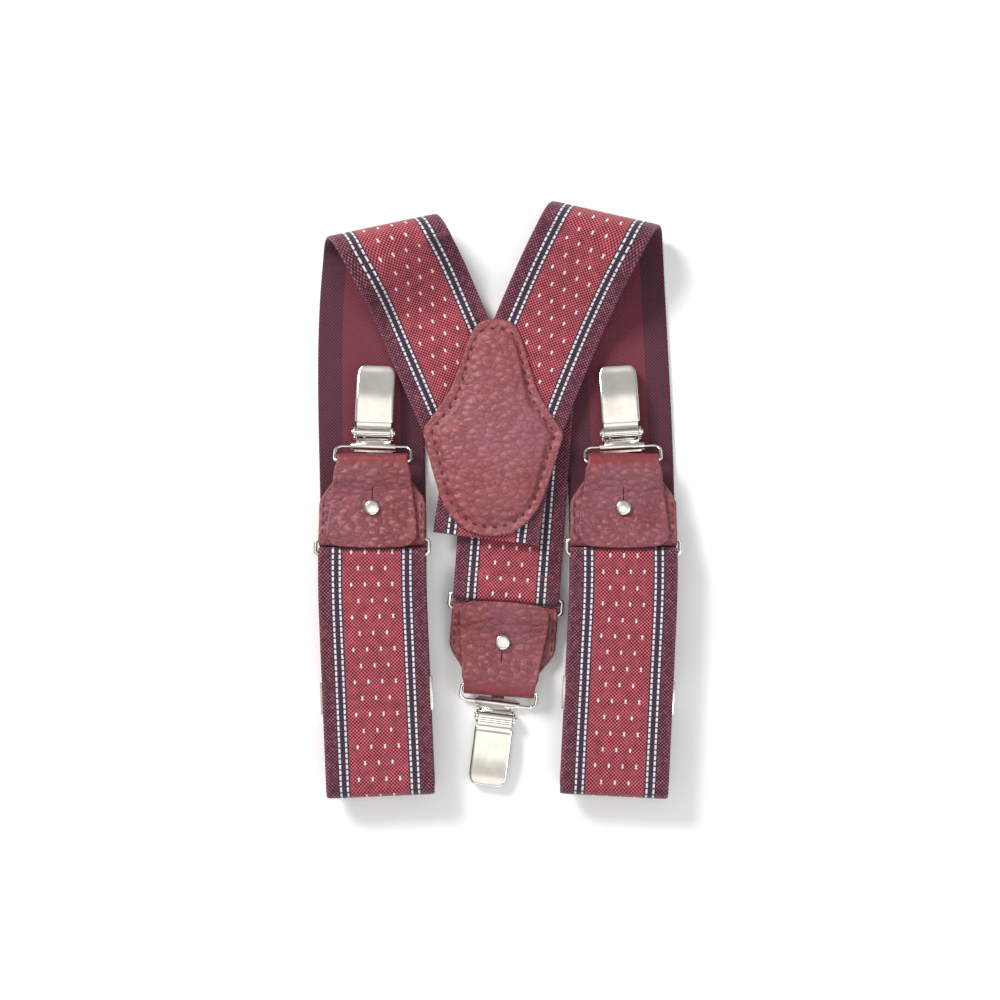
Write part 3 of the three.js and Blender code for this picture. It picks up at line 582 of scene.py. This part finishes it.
def stitches(name, places, material, body, slot, length, thick):
    """Short stitches sunk at both ends. places are (middle, direction, up) in metres."""
    points, faces = [], []
    for middle, ahead, up in places:
        ahead = Vector(ahead).normalized()
        up = Vector(up).normalized()
        out = ahead.cross(up).normalized()
        rings = [len(points) + i * STITCH_SIDES for i in range(STITCH_STEPS + 1)]
        for i in range(STITCH_STEPS + 1):
            t = i / STITCH_STEPS
            swell = math.sin(math.pi * mix(0.12, 0.88, t))
            lift = (swell - 0.75) * thick * 0.9
            heart = Vector(middle) + ahead * ((t - 0.5) * length * MM) + up * (lift * MM)
            for k in range(STITCH_SIDES):
                a = 2 * math.pi * k / STITCH_SIDES
                points.append(heart + (out * math.cos(a) + up * math.sin(a) * 0.8) * (thick * swell * MM))
        for near, far in zip(rings, rings[1:]):
            for k in range(STITCH_SIDES):
                m = (k + 1) % STITCH_SIDES
                faces.append((near + k, near + m, far + m, far + k))
        faces.append(tuple(rings[0] + k for k in range(STITCH_SIDES)))
        faces.append(tuple(rings[-1] + k for k in range(STITCH_SIDES)))
    piece(name, points, faces, material, body, slot)


# ---------------------------------------------------------------- yoke

YOKE_HEIGHT, YOKE_HALF_WIDTH, YOKE_TURN = 71.6, 23.4, math.radians(-1.5)
# The outline: share of the height from the top, and share of the half width there.
YOKE_PROFILE = [
    (0, 0.02), (0.004, 0.13), (0.016, 0.225), (0.035, 0.28), (0.072, 0.347), (0.11, 0.39),
    (0.182, 0.462), (0.255, 0.534), (0.329, 0.624), (0.402, 0.752), (0.446, 0.841), (0.49, 0.935),
    (0.51, 0.975), (0.53, 0.985), (0.571, 0.956), (0.622, 0.912), (0.696, 0.845), (0.769, 0.774),
    (0.842, 0.697), (0.879, 0.637), (0.916, 0.553), (0.952, 0.438), (0.98, 0.3), (0.995, 0.16),
    (1, 0.02),
]
YOKE_RIM = 200  # points round the rim
YOKE_EDGE = 0.62  # share of the thickness that the unpadded edge has


def outline_of(node, inset):
    """The plan outline of a yoke leather, as a smooth closed curve, and its middle."""
    half, height = YOKE_HALF_WIDTH - inset, YOKE_HEIGHT - 2 * inset
    right = [(w * half, (0.5 - t) * height) for t, w in YOKE_PROFILE]
    edge = np.array(right + [(-x, y) for x, y in right[::-1]]) * MM
    c, s = math.cos(YOKE_TURN), math.sin(YOKE_TURN)
    edge = edge @ np.array([[c, s], [-s, c]])
    low, high = (np.array(corner)[:2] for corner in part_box(node))
    edge += (low + high) / 2 - (edge.min(axis=0) + edge.max(axis=0)) / 2
    middle = edge.mean(axis=0)
    ring = np.vstack([edge[-2:], edge, edge[:3]])
    at = distances(ring)
    return eased(ring, at, np.linspace(at[2], at[-3], YOKE_RIM, endpoint=False)), middle


def yoke_height(plan, inset, full, padded):
    """The face's height in millimetres: rounded lip, stitched channel, padded middle, slightly uneven."""
    lip = np.sqrt(np.clip(1 - (1 - np.clip(inset / 0.7, 0, 1)) ** 2, 0, 1))
    channel = np.exp(-(((inset - YOKE_SEAM_INSET) / 0.6) ** 2))
    pad = 0.55 * smooth((inset - 3.3) / 2.2) + 0.45 * smooth((inset - 4.2) / 9)
    wander = np.zeros(len(plan))
    for i, (x, y) in enumerate(plan):
        broad = noise.noise(Vector((x * 90, y * 90, 3.1)))
        wander[i] = broad * 0.16 + noise.noise(Vector((x * 260, y * 260, 9.4))) * 0.07
    edge = YOKE_EDGE * full / MM
    rise = edge * (0.35 + 0.65 * lip) - 0.3 * channel
    return rise + (full / MM - edge + 0.9) * pad * padded + wander * smooth(inset / 3)


def yoke_leather(name, node, padded, inset_by):
    """A yoke leather: soft cut edge, a stitched channel, and a padded middle on the front one."""
    rim, middle = outline_of(node, inset_by)
    low, high = (corner[2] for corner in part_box(node))
    full = high - low
    inward = middle - rim
    reach = np.linalg.norm(inward, axis=1)
    shares = [1.0, 0.999, 0.994, 0.985, *np.linspace(0.97, 0.7, 22), *np.linspace(0.68, 0.04, 16)]
    face, base = [], []
    for share in shares:
        plan = middle - inward * share
        rise = yoke_height(plan, reach * (1 - share) / MM, full, padded)
        face.append(np.column_stack([plan, low + rise * MM]))
    for share in (0.996, 0.5, 0.1):
        base.append(np.column_stack([middle - inward * share, np.full(len(rim), low + 0.02 * MM)]))
    rings = face[::-1] + base
    if not padded:
        rings = [np.column_stack([r[:, :2], low + high - r[:, 2]]) for r in rings]
    points, faces = loops(rings)
    piece(name, points, faces, YOKE, "webbing", "leather", [node])

    line = middle - inward * (1 - YOKE_SEAM_INSET * MM / reach)[:, None]
    level = YOKE_EDGE * full - 0.1 * MM
    if padded:
        yoke_seam(name, line, low + level, 1)
    else:
        yoke_seam(name, line, high - level, -1)


def yoke_seam(name, line, height, up):
    """Stitches evenly along a closed line, at one height."""
    closed = np.vstack([line, line[:1]])
    at = distances(closed)

    def spot(d):
        return np.array([np.interp(d, at, closed[:, k]) for k in (0, 1)])

    count = round(at[-1] / (YOKE_SEAM_PITCH * MM))
    seam = []
    for i in range(count):
        d = at[-1] * (i + 0.5) / count
        ahead = spot(d + MM) - spot(d - MM)
        seam.append(((*spot(d), height), (*ahead, 0), (0, 0, up)))
    stitches(name + "_stitches", seam, THREAD, "webbing", "leather", 1.5, 0.33)


# ---------------------------------------------------------------- leather ends


def apart(a, b):
    """The millimetres between two joints."""
    return (Vector(JOINTS[a]["pos_m"]) - Vector(JOINTS[b]["pos_m"])).length / MM


# Local to a leather end: Y from the ring's bar in the webbing towards the clip, Z out of its face.
BAR = apart("rear_tab_on_ring", "rear_ring_in_webbing")
TAB_TURN = RING_WIRE / 2 + RING_CLEAR + LEATHER / 2
LOOP_TURN = LOOP_WIRE / 2 + FOLD_CLEAR + LEATHER / 2
Z_BACK = -TAB_TURN + LEATHER + GAP
Z_FLAP = Z_BACK + LEATHER + GAP
STUD_Y = BAR + STUD_FROM_BAR
LINE_STEP = 0.5
TAB_SEED = {"front_left": 1.7, "front_right": 5.3, "rear": 8.9}


def back_height(d):
    """The back layer's height, a distance on from the ring's bar."""
    return mix(TAB_TURN, Z_BACK, smooth((d - 1) / 7))


def wing_width(d):
    """The back layer's width there, from its wings down to the fold."""
    return mix(TAB_WING, TAB_FOLD, smooth((d - 11) / 12))


def corner_cut(left, corner):
    """How much narrower a strip is because its corners are round, a distance short of its end."""
    return 2 * (corner - math.sqrt(corner**2 - (corner - left) ** 2)) if left < corner else 0


def tab_path(loop_y):
    """The leather strip's own line in its end's YZ plane, with its width: under layer, back, front flap."""
    line, width = [], []
    for d in np.arange(UNDER_REACH, 0.0, -LINE_STEP):
        line.append((BAR + d, -TAB_TURN))
        gone = UNDER_REACH - d
        width.append(mix(TAB_WING - 5, TAB_WING, smooth(gone / 9)) - corner_cut(gone, 2))
    for a in np.linspace(0, math.pi, 15):
        line.append((BAR - TAB_TURN * math.sin(a), -TAB_TURN * math.cos(a)))
        width.append(TAB_WING)
    for d in np.arange(LINE_STEP, loop_y - BAR, LINE_STEP):
        line.append((BAR + d, back_height(d)))
        width.append(wing_width(d))
    for a in np.linspace(0, math.pi, 17):
        line.append((loop_y + LOOP_TURN * math.sin(a), Z_BACK + LOOP_TURN * (1 - math.cos(a))))
        width.append(TAB_FOLD)

    # The flap comes down from the fold to the stud and rises again over the ring.
    flap_from = len(line)
    top, rise = Z_BACK + 2 * LOOP_TURN, TAB_TURN + LEATHER + GAP
    run = loop_y - BAR + FLAP_OVERHANG
    fine = run - np.array([3.5, 2.9, 2.3, 1.8, 1.3, 0.9, 0.6, 0.35, 0.15, 0.05, 0])
    for d in [*np.arange(LINE_STEP, run - 3.5, LINE_STEP), *fine]:
        y = loop_y - d
        if y > STUD_Y:
            z = mix(Z_FLAP, top, smooth((y - STUD_Y - 4) / 8))
        else:
            z = mix(rise, Z_FLAP, smooth((y - BAR - 1) / 7))
        line.append((y, z))
        wide = mix(TAB_FOLD, TAB_FLAP, smooth((d - 0.5) / 24) * 0.75 + smooth(d / 4) * 0.25)
        width.append(wide - corner_cut(run - d, FLAP_CORNER))
    return np.array(line), np.array(width), flap_from


def tab_section(half):
    """Places across the strip, finer at its cut edges, with the slit's two sides in the middle."""
    edge = half - np.array([0.8, 0.5, 0.3, 0.14, 0.04, 0.0])
    right = np.concatenate([np.linspace(SLIT_HALF, half - 1.2, 12), edge])
    return np.concatenate([-right[::-1], right])


def tab_rings(line, width, flap_from, seed):
    """The strip's sections: soft edges, and the flap uneven, sunk round its stud and bowed at its end."""
    ahead = np.gradient(line, axis=0)
    ahead /= np.linalg.norm(ahead, axis=1)[:, None]
    normal = np.column_stack([ahead[:, 1], -ahead[:, 0]])
    count = len(line)
    rings = []
    for i, ((y, z), (ny, nz)) in enumerate(zip(line, normal)):
        half = width[i] / 2
        xs = tab_section(half)
        from_tip = min(i, count - 1 - i) * 0.15 if i > count - 9 or i < 3 else 9
        tip = math.sqrt(max(0.15, 1 - (1 - min(from_tip / 0.6, 1)) ** 2))
        lip = np.sqrt(np.clip(1 - (1 - np.clip((half - np.abs(xs)) / 0.55, 0, 1)) ** 2, 0.06, 1))
        near = smooth(1 - (count - 1 - i) / 22)
        upper, lower = [], []
        for x, h in zip(xs, LEATHER / 2 * 0.97 * lip * tip):
            lift = sag = bow = 0.0
            if i >= flap_from:
                from_stud = math.hypot(x, y - STUD_Y)
                sink = 0.22 * math.exp(-((from_stud / 3.4) ** 2)) - 0.12 * smooth((abs(x) - half + 2.5) / 2.5)
                lift = noise.noise(Vector((x * 0.09, y * 0.11, z * 0.3 + seed))) * 0.1 - sink
                sag = max(lift, -0.03)
                bow = 0.9 * near * (2 * x / TAB_FLAP) ** 2
            upper.append((x, y + ny * h + bow, z + nz * h + lift))
            lower.append((x, y - ny * h + bow, z - nz * h + sag))
        rings.append(upper + lower[::-1])
    return rings


def slit_through(faces, line, flap_from, size):
    """The faces without those over the slit, and with walls down its sides and ends."""
    left = size // 4 - 1
    right, under_right, under_left = left + 1, size - 2 - left, size - 1 - left
    cut = []
    for r in range(flap_from, len(line) - 1):
        y = (line[r][0] + line[r + 1][0]) / 2
        if STUD_Y - SLIT_BELOW < y < STUD_Y + SLIT_ABOVE:
            cut.append(r)
    kept = []
    for face in faces:
        columns = sorted(corner % size for corner in face)
        over = columns in ([left, left, right, right], [under_right, under_right, under_left, under_left])
        if not (len(face) == 4 and over and face[0] // size in cut):
            kept.append(face)
    for r in cut:
        for top, low in ((left, under_left), (right, under_right)):
            kept.append((r * size + top, (r + 1) * size + top, (r + 1) * size + low, r * size + low))
    for r in (cut[0], cut[-1] + 1):
        kept.append(tuple(r * size + corner for corner in (left, right, under_right, under_left)))
    return kept


def tab_leather(end, matrix, loop_y):
    """A leather end: one strip round the ring and the wire loop, its flap slit and buttoned on the stud."""
    line, width, flap_from = tab_path(loop_y)
    rings = tab_rings(line, width, flap_from, TAB_SEED[end])
    points, faces = loops(rings)
    size = len(rings[0])
    faces = slit_through(faces, line, flap_from, size)
    worn = smooth((line[:, 0] - loop_y + 2.6) / 2.6) * (np.arange(len(line)) > 60)
    piece(
        f"{end}_tab", placed(matrix, points), faces, TAB, f"{end}_tab", "leather", [f"{end}_leather"],
        worn=np.repeat(worn, size),
    )

    # A short row of stitches down each wing, beside the flap.
    turn = matrix.to_3x3()
    seam = []
    for side in (-1, 1):
        for d in np.arange(2.6, 12.0, 2.9):
            slope = (back_height(d + 1) - back_height(d - 1)) / 2
            at = (side * (wing_width(d) / 2 - 1.35), BAR + d, back_height(d) + LEATHER / 2)
            spot = placed(matrix, [at])[0]
            seam.append((spot, turn @ Vector((0, 1, slope)), turn @ Vector((0, -slope, 1))))
    stitches(f"{end}_tab_stitches", seam, THREAD, f"{end}_tab", "leather", 2.0, 0.27)


LATHE_SIDES, WIRE_SIDES = 40, 14


def circle(sides):
    """Cosine and sine at even steps round a circle."""
    turns = [2 * math.pi * k / sides for k in range(sides)]
    return [(math.cos(a), math.sin(a)) for a in turns]


def lathe(name, profile, matrix, material, body, slot, nodes):
    """A turned piece about local Z at a place: profile is (radius, height) in millimetres."""
    rings = [[(radius * c, radius * s, height) for c, s in circle(LATHE_SIDES)] for radius, height in profile]
    points, faces = loops(rings)
    piece(name, placed(matrix, points), faces, material, body, slot, nodes)


def tube(name, path, radius, matrix, material, body, slot, nodes):
    """Round wire along a closed path in a local XY plane, in millimetres."""
    up = Vector((0, 0, 1))
    rings = []
    for i, at in enumerate(path):
        ahead = (path[(i + 1) % len(path)] - path[i - 1]).normalized()
        out = ahead.cross(up).normalized()
        rings.append([tuple(at + out * (radius * c) + up * (radius * s)) for c, s in circle(WIRE_SIDES)])
    points, faces = loops(rings, closed=True)
    piece(name, placed(matrix, points), faces, material, body, slot, nodes)


def rounded_rectangle(half, pitch, near, far):
    """A wire's closed path: half its width, the pitch of its two bars, and the corners at each bar."""
    corners = (
        (half - near, near, -90, near),
        (half - far, pitch - far, 0, far),
        (far - half, pitch - far, 90, far),
        (near - half, near, 180, near),
    )
    path = []
    for x, y, start, corner in corners:
        for k in range(7):
            a = math.radians(start + 15 * k)
            path.append(Vector((x + corner * math.cos(a), y + corner * math.sin(a), 0)))
    return path


# ---------------------------------------------------------------- clips

# Local to a clip: Y from its sleeve to its nose, Z up from its sleeve's middle.
COVER_STOP = CLIP_LENGTH + 0.05
COVER_LOW = 0.18
NOSE_FROM = 0.8
# The dished face: share of the half width, and depth.
COVER_DISH = [
    (-0.7, -0.05), (-0.45, -0.16), (-0.2, -0.22), (0, -0.24), (0.2, -0.22), (0.45, -0.16), (0.7, -0.05),
]


def crown(y):
    """The height of the cover's back along the clip: arched, then falling to the nose."""
    t = (y - COVER_START) / (COVER_STOP - COVER_START)
    return 3.05 + 0.42 * math.sin(math.pi * min(max(t, 0.0) * 1.15, 1.0)) - 0.8 * smooth((t - 0.35) / 0.65)


def cover_section(t):
    """One section of the shell, left to right, a share of the way from its open end to its nose."""
    y = mix(COVER_START, COVER_STOP, t)
    nose = math.sqrt(max(0, 1 - ((t - NOSE_FROM) / (1 - NOSE_FROM)) ** 2)) if t > NOSE_FROM else 1.0
    shoulder = math.sqrt(max(0, 1 - (1 - min(t / 0.03, 1)) ** 2))
    half = CLIP_WIDTH / 2 * mix(0.66, 1.0, nose) - 0.35 * (1 - shoulder)
    top = crown(y) - 0.35 * (1 - nose) ** 2
    dish = smooth(t / 0.25) * mix(0.3, 1.0, nose)
    right = []
    for a in np.linspace(0, math.pi / 2, 7):
        share, rolled = 1.0 - 0.16 * (1 - math.sin(a)), -0.85 * (1 - math.cos(a))
        right.append((half * share, top + rolled * min(1, (top - COVER_LOW) / 0.9)))
    right += [(half, mix(right[-1][1], COVER_LOW, k)) for k in (0.5, 1.0)]
    flat = [(half * u, top + depth * dish) for u, depth in COVER_DISH]
    section = [(-x, z) for x, z in right[::-1]] + flat + right
    return [(x, y, z) for x, z in section]


def cover_shell():
    """The shell's sections, ending in a face turned down in front."""
    fine = (0.84, 0.88, 0.915, 0.94, 0.96, 0.975, 0.99, 1.0)
    rings = [cover_section(t) for t in (0, 0.006, 0.015, 0.03, 0.06, *np.linspace(0.1, 0.8, 15), *fine)]
    last = rings[-1]
    for drop, push in ((0.2, 0.1), (0.5, 0.16), (0.8, 0.18), (1.0, 0.18)):
        narrow = 1 - 0.02 * drop
        rings.append([(x * narrow, COVER_STOP + push, mix(z, COVER_LOW, drop)) for x, _, z in last])
    return rings


def cover_tongue():
    """The tongue steps down from under the crown, runs back low and rolls round the pin."""
    line = [(9.6, crown(9.6) - 0.3), (8.9, 2.65), (8.3, 2.38), (7.8, 2.14)]
    line += [(7.3, 1.98), (6.8, 1.92), (6.3, 1.97)]
    for a in np.radians(np.linspace(32, 330, 19)):
        line.append((PIN_Y + TONGUE_RADIUS * math.cos(a), PIN_Z + TONGUE_RADIUS * math.sin(a)))
    half = CLIP_WIDTH / 2 - 0.75
    return [[(x, y, z) for x in np.linspace(-half, half, 7)] for y, z in line]


def sheet_of(rows, base):
    """The faces between rows of points, numbered from a base."""
    size = len(rows[0])
    faces = []
    for i in range(len(rows) - 1):
        for k in range(size - 1):
            near, far = base + i * size + k, base + (i + 1) * size + k
            faces.append((near, near + 1, far + 1, far))
    return faces


def clip_cover(end, matrix):
    """The drawn cover: a dished shell with turned-down sides and round nose, and its tongue."""
    shell, tongue = cover_shell(), cover_tongue()
    points = [point for row in shell + tongue for point in row]
    faces = sheet_of(shell, 0) + sheet_of(tongue, len(shell) * len(shell[0]))
    name = f"{end}_cover"
    obj = piece(name, placed(matrix, points), faces, NICKEL, name, "nickel", [f"{end}_clip_cover"])
    bake(obj, "SOLIDIFY", thickness=COVER_SHEET * MM, offset=-1.0, use_even_offset=False)
    obj.data.shade_smooth()
    obj.data.set_sharp_from_angle(angle=math.radians(60))


def clip_frame(end):
    """The clip's own frame: X along its sleeve, Y to its tip, from the sleeve and pin joints."""
    sleeve, pin = JOINTS[f"{end}_clip_on_loop"], JOINTS[f"{end}_cover_lever"]
    raw = local_frame(sleeve["pos_m"], sleeve["axis"], pin["pos_m"])
    return raw @ Matrix.Rotation(-math.atan2(PIN_Z, PIN_Y), 4, "X")


def stud(end, matrix):
    """The flap's stud: washer under the leather, neck and domed head."""
    low, top = -(TAB_TURN + LEATHER / 2), Z_FLAP + LEATHER / 2 + GAP
    head, neck = STUD_HEAD / 2, STUD_NECK / 2
    profile = [
        (0.05, low - 0.5), (2.6, low - 0.5), (2.9, low - 0.42), (3.0, low - 0.28), (2.95, low - 0.1),
        (neck, low - 0.06), (neck, top - 0.1), (head - 0.25, top), (head - 0.04, top + 0.12),
        (head, top + 0.35), (head - 0.05, top + 0.6), (head - 0.25, top + 0.9), (head - 0.6, top + 1.12),
        (head - 0.95, top + 1.2), (head - 1.1, top + 1.22), (head - 1.7, top + 1.3), (0.5, top + 1.36),
        (0.05, top + 1.37),
    ]
    at = matrix @ Matrix.Translation((0, STUD_Y * MM, 0))
    lathe(f"{end}_stud_turned", profile, at, NICKEL, f"{end}_tab", "nickel", [f"{end}_stud"])


def build_end(end):
    """One end: leather, ring, wire loop, stud and clip, each placed from the joints that hold it."""
    ring, tab, loop = (JOINTS[f"{end}_{name}"] for name in ("ring_in_webbing", "tab_on_ring", "loop_in_tab"))
    matrix = local_frame(ring["pos_m"], ring["axis"], tab["pos_m"])
    loop_at = matrix.inverted() @ Vector(loop["pos_m"]) / MM
    tab_leather(end, matrix, loop_at.y)

    half = WEB_WIDTH / 2 + RING_ROOM + RING_WIRE / 2
    path = rounded_rectangle(half, BAR, WIRE_CORNER, WIRE_CORNER)
    tube(f"{end}_ring_wire", path, RING_WIRE / 2, matrix, WIRE, f"{end}_ring", "nickel", [f"{end}_ring"])

    sleeve = JOINTS[f"{end}_clip_on_loop"]["pos_m"]
    hang = local_frame(loop["pos_m"], loop["axis"], sleeve)
    reach = apart(f"{end}_clip_on_loop", f"{end}_loop_in_tab")
    path = rounded_rectangle((LOOP_WIDTH - LOOP_WIRE) / 2, reach, WIRE_CORNER, LOOP_CORNER)
    tube(f"{end}_loop", path, LOOP_WIRE / 2, hang, WIRE, f"{end}_wire_loop", "nickel", [f"{end}_wire_loop"])

    stud(end, matrix)
    refined(f"{end}_clip_base", NICKEL, f"{end}_clip", 0.12)
    refined(f"{end}_clip_pin", WIRE, f"{end}_clip", 0.14)
    refined(f"{end}_jaw_pad", RUBBER, f"{end}_clip", 0.18)
    clip_cover(end, clip_frame(end))


REAR_SEAM_FROM, REAR_SEAM_HALF, REAR_SEAM_PITCH = 7.6, 16.0, 2.1


def rear_seam(middle, across, normal):
    """Stitches straight across the rear strap, near its ring, where its end is sewn back."""
    ring = np.array(JOINTS["rear_ring_in_webbing"]["pos_m"])
    from_ring = np.linalg.norm(middle[:, :2] - ring[:2], axis=1)
    row = int(np.argmax(from_ring < REAR_SEAM_FROM * MM))
    way = Vector(across[row]).normalized()
    up = Vector(normal[row])
    seam = []
    for x in np.arange(1 - REAR_SEAM_HALF, REAR_SEAM_HALF, REAR_SEAM_PITCH):
        seam.append((Vector(middle[row]) + way * (x * MM) + up * (WEB_THICK / 2 * MM), way, up))
    stitches("rear_seam", seam, SEAM, "webbing", "webbing", 1.7, 0.22)


# ---------------------------------------------------------------- build

webbing("left_webbing", "left_strap")
webbing("right_webbing", "right_strap")
rear_strip = webbing("rear_webbing", "rear_strap")
yoke_leather("yoke_front", "yoke_front_leather", True, 0.0)
yoke_leather("yoke_back", "yoke_back_leather", False, YOKE_BACK_INSET)
for end in ENDS:
    build_end(end)
for side in ("left", "right"):
    refined(f"{side}_adjuster", NICKEL, f"{side}_adjuster", 0.2)
rear_seam(*rear_strip)

# ---------------------------------------------------------------- floor, light, camera

FLOOR_SIZE, FLOOR_GAP = 6.0, 0.0001  # metres
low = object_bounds()[0]
bpy.ops.mesh.primitive_plane_add(size=FLOOR_SIZE, location=(0, 0, low.z - FLOOR_GAP))
floor = bpy.context.object
floor.name = "floor"
floor.data.materials.append(floor_material())

world = bpy.data.worlds.new("studio")
bpy.context.scene.world = world
world.use_nodes = True
sky = world.node_tree
coordinate = sky.nodes.new("ShaderNodeTexCoord")
split = sky.nodes.new("ShaderNodeSeparateXYZ")
fade = sky.nodes.new("ShaderNodeValToRGB")
# From the horizon and below it up to a bright ceiling.
stops = (
    (0.0, (0.12, 0.13, 0.16, 1)),
    (0.35, (0.5, 0.51, 0.54, 1)),
    (0.7, (0.82, 0.82, 0.83, 1)),
    (0.9, (0.95, 0.94, 0.92, 1)),
    (0.965, (2.3, 2.24, 2.12, 1)),
)
ramp = fade.color_ramp
while len(ramp.elements) < len(stops):
    ramp.elements.new(0.5)
for element, (position, colour) in zip(ramp.elements, stops):
    element.position = position
    element.color = colour
sky.links.new(coordinate.outputs["Generated"], split.inputs[0])
sky.links.new(split.outputs["Z"], fade.inputs["Fac"])

# Seen directly, past the floor's edge, the studio is one pale grey.
backdrop = sky.nodes.new("ShaderNodeMixRGB")
backdrop.inputs["Color2"].default_value = (0.9, 0.9, 0.91, 1)
ray = sky.nodes.new("ShaderNodeLightPath")
sky.links.new(ray.outputs["Is Camera Ray"], backdrop.inputs["Fac"])
sky.links.new(fade.outputs["Color"], backdrop.inputs["Color1"])
sky.links.new(backdrop.outputs["Color"], sky.nodes["Background"].inputs["Color"])
sky.nodes["Background"].inputs["Strength"].default_value = 0.56


def softbox(name, at, size, power, colour):
    """An area light facing the middle of the scene."""
    light = bpy.data.lights.new(name, "AREA")
    light.shape = "RECTANGLE"
    light.size, light.size_y = size
    light.energy = power
    light.color = colour
    obj = bpy.data.objects.new(name, light)
    bpy.context.collection.objects.link(obj)
    obj.location = at
    obj.rotation_euler = (-Vector(at)).to_track_quat("-Z", "Y").to_euler()


softbox("key", (-0.75, 0.8, 0.75), (0.5, 0.4), 19.0, (1.0, 0.985, 0.96))
softbox("fill", (0.8, -0.35, 0.9), (0.8, 0.8), 4.0, (0.93, 0.96, 1.0))
softbox("low_front", (0.1, -0.9, 0.5), (0.9, 0.3), 2.2, (1, 1, 1))

# Straight above, leaning a little towards the clips at the bottom.
VIEW_HEIGHT, VIEW_FIELD, LEAN = 0.70, 0.327, math.radians(2.5)
AIM = Vector((0.0007, -0.0006, 0.008))
camera = bpy.data.cameras.new("camera")
camera.sensor_width = 36.0
camera.lens = camera.sensor_width * VIEW_HEIGHT / VIEW_FIELD
camera.clip_start, camera.clip_end = 0.05, 20.0
eye = bpy.data.objects.new("camera", camera)
bpy.context.collection.objects.link(eye)
eye.location = AIM + Vector((0, -VIEW_HEIGHT * math.sin(LEAN), VIEW_HEIGHT * math.cos(LEAN)))
eye.rotation_euler = (LEAN, 0.0, 0.0)
bpy.context.scene.camera = eye
bpy.context.scene.view_settings.view_transform = "Standard"
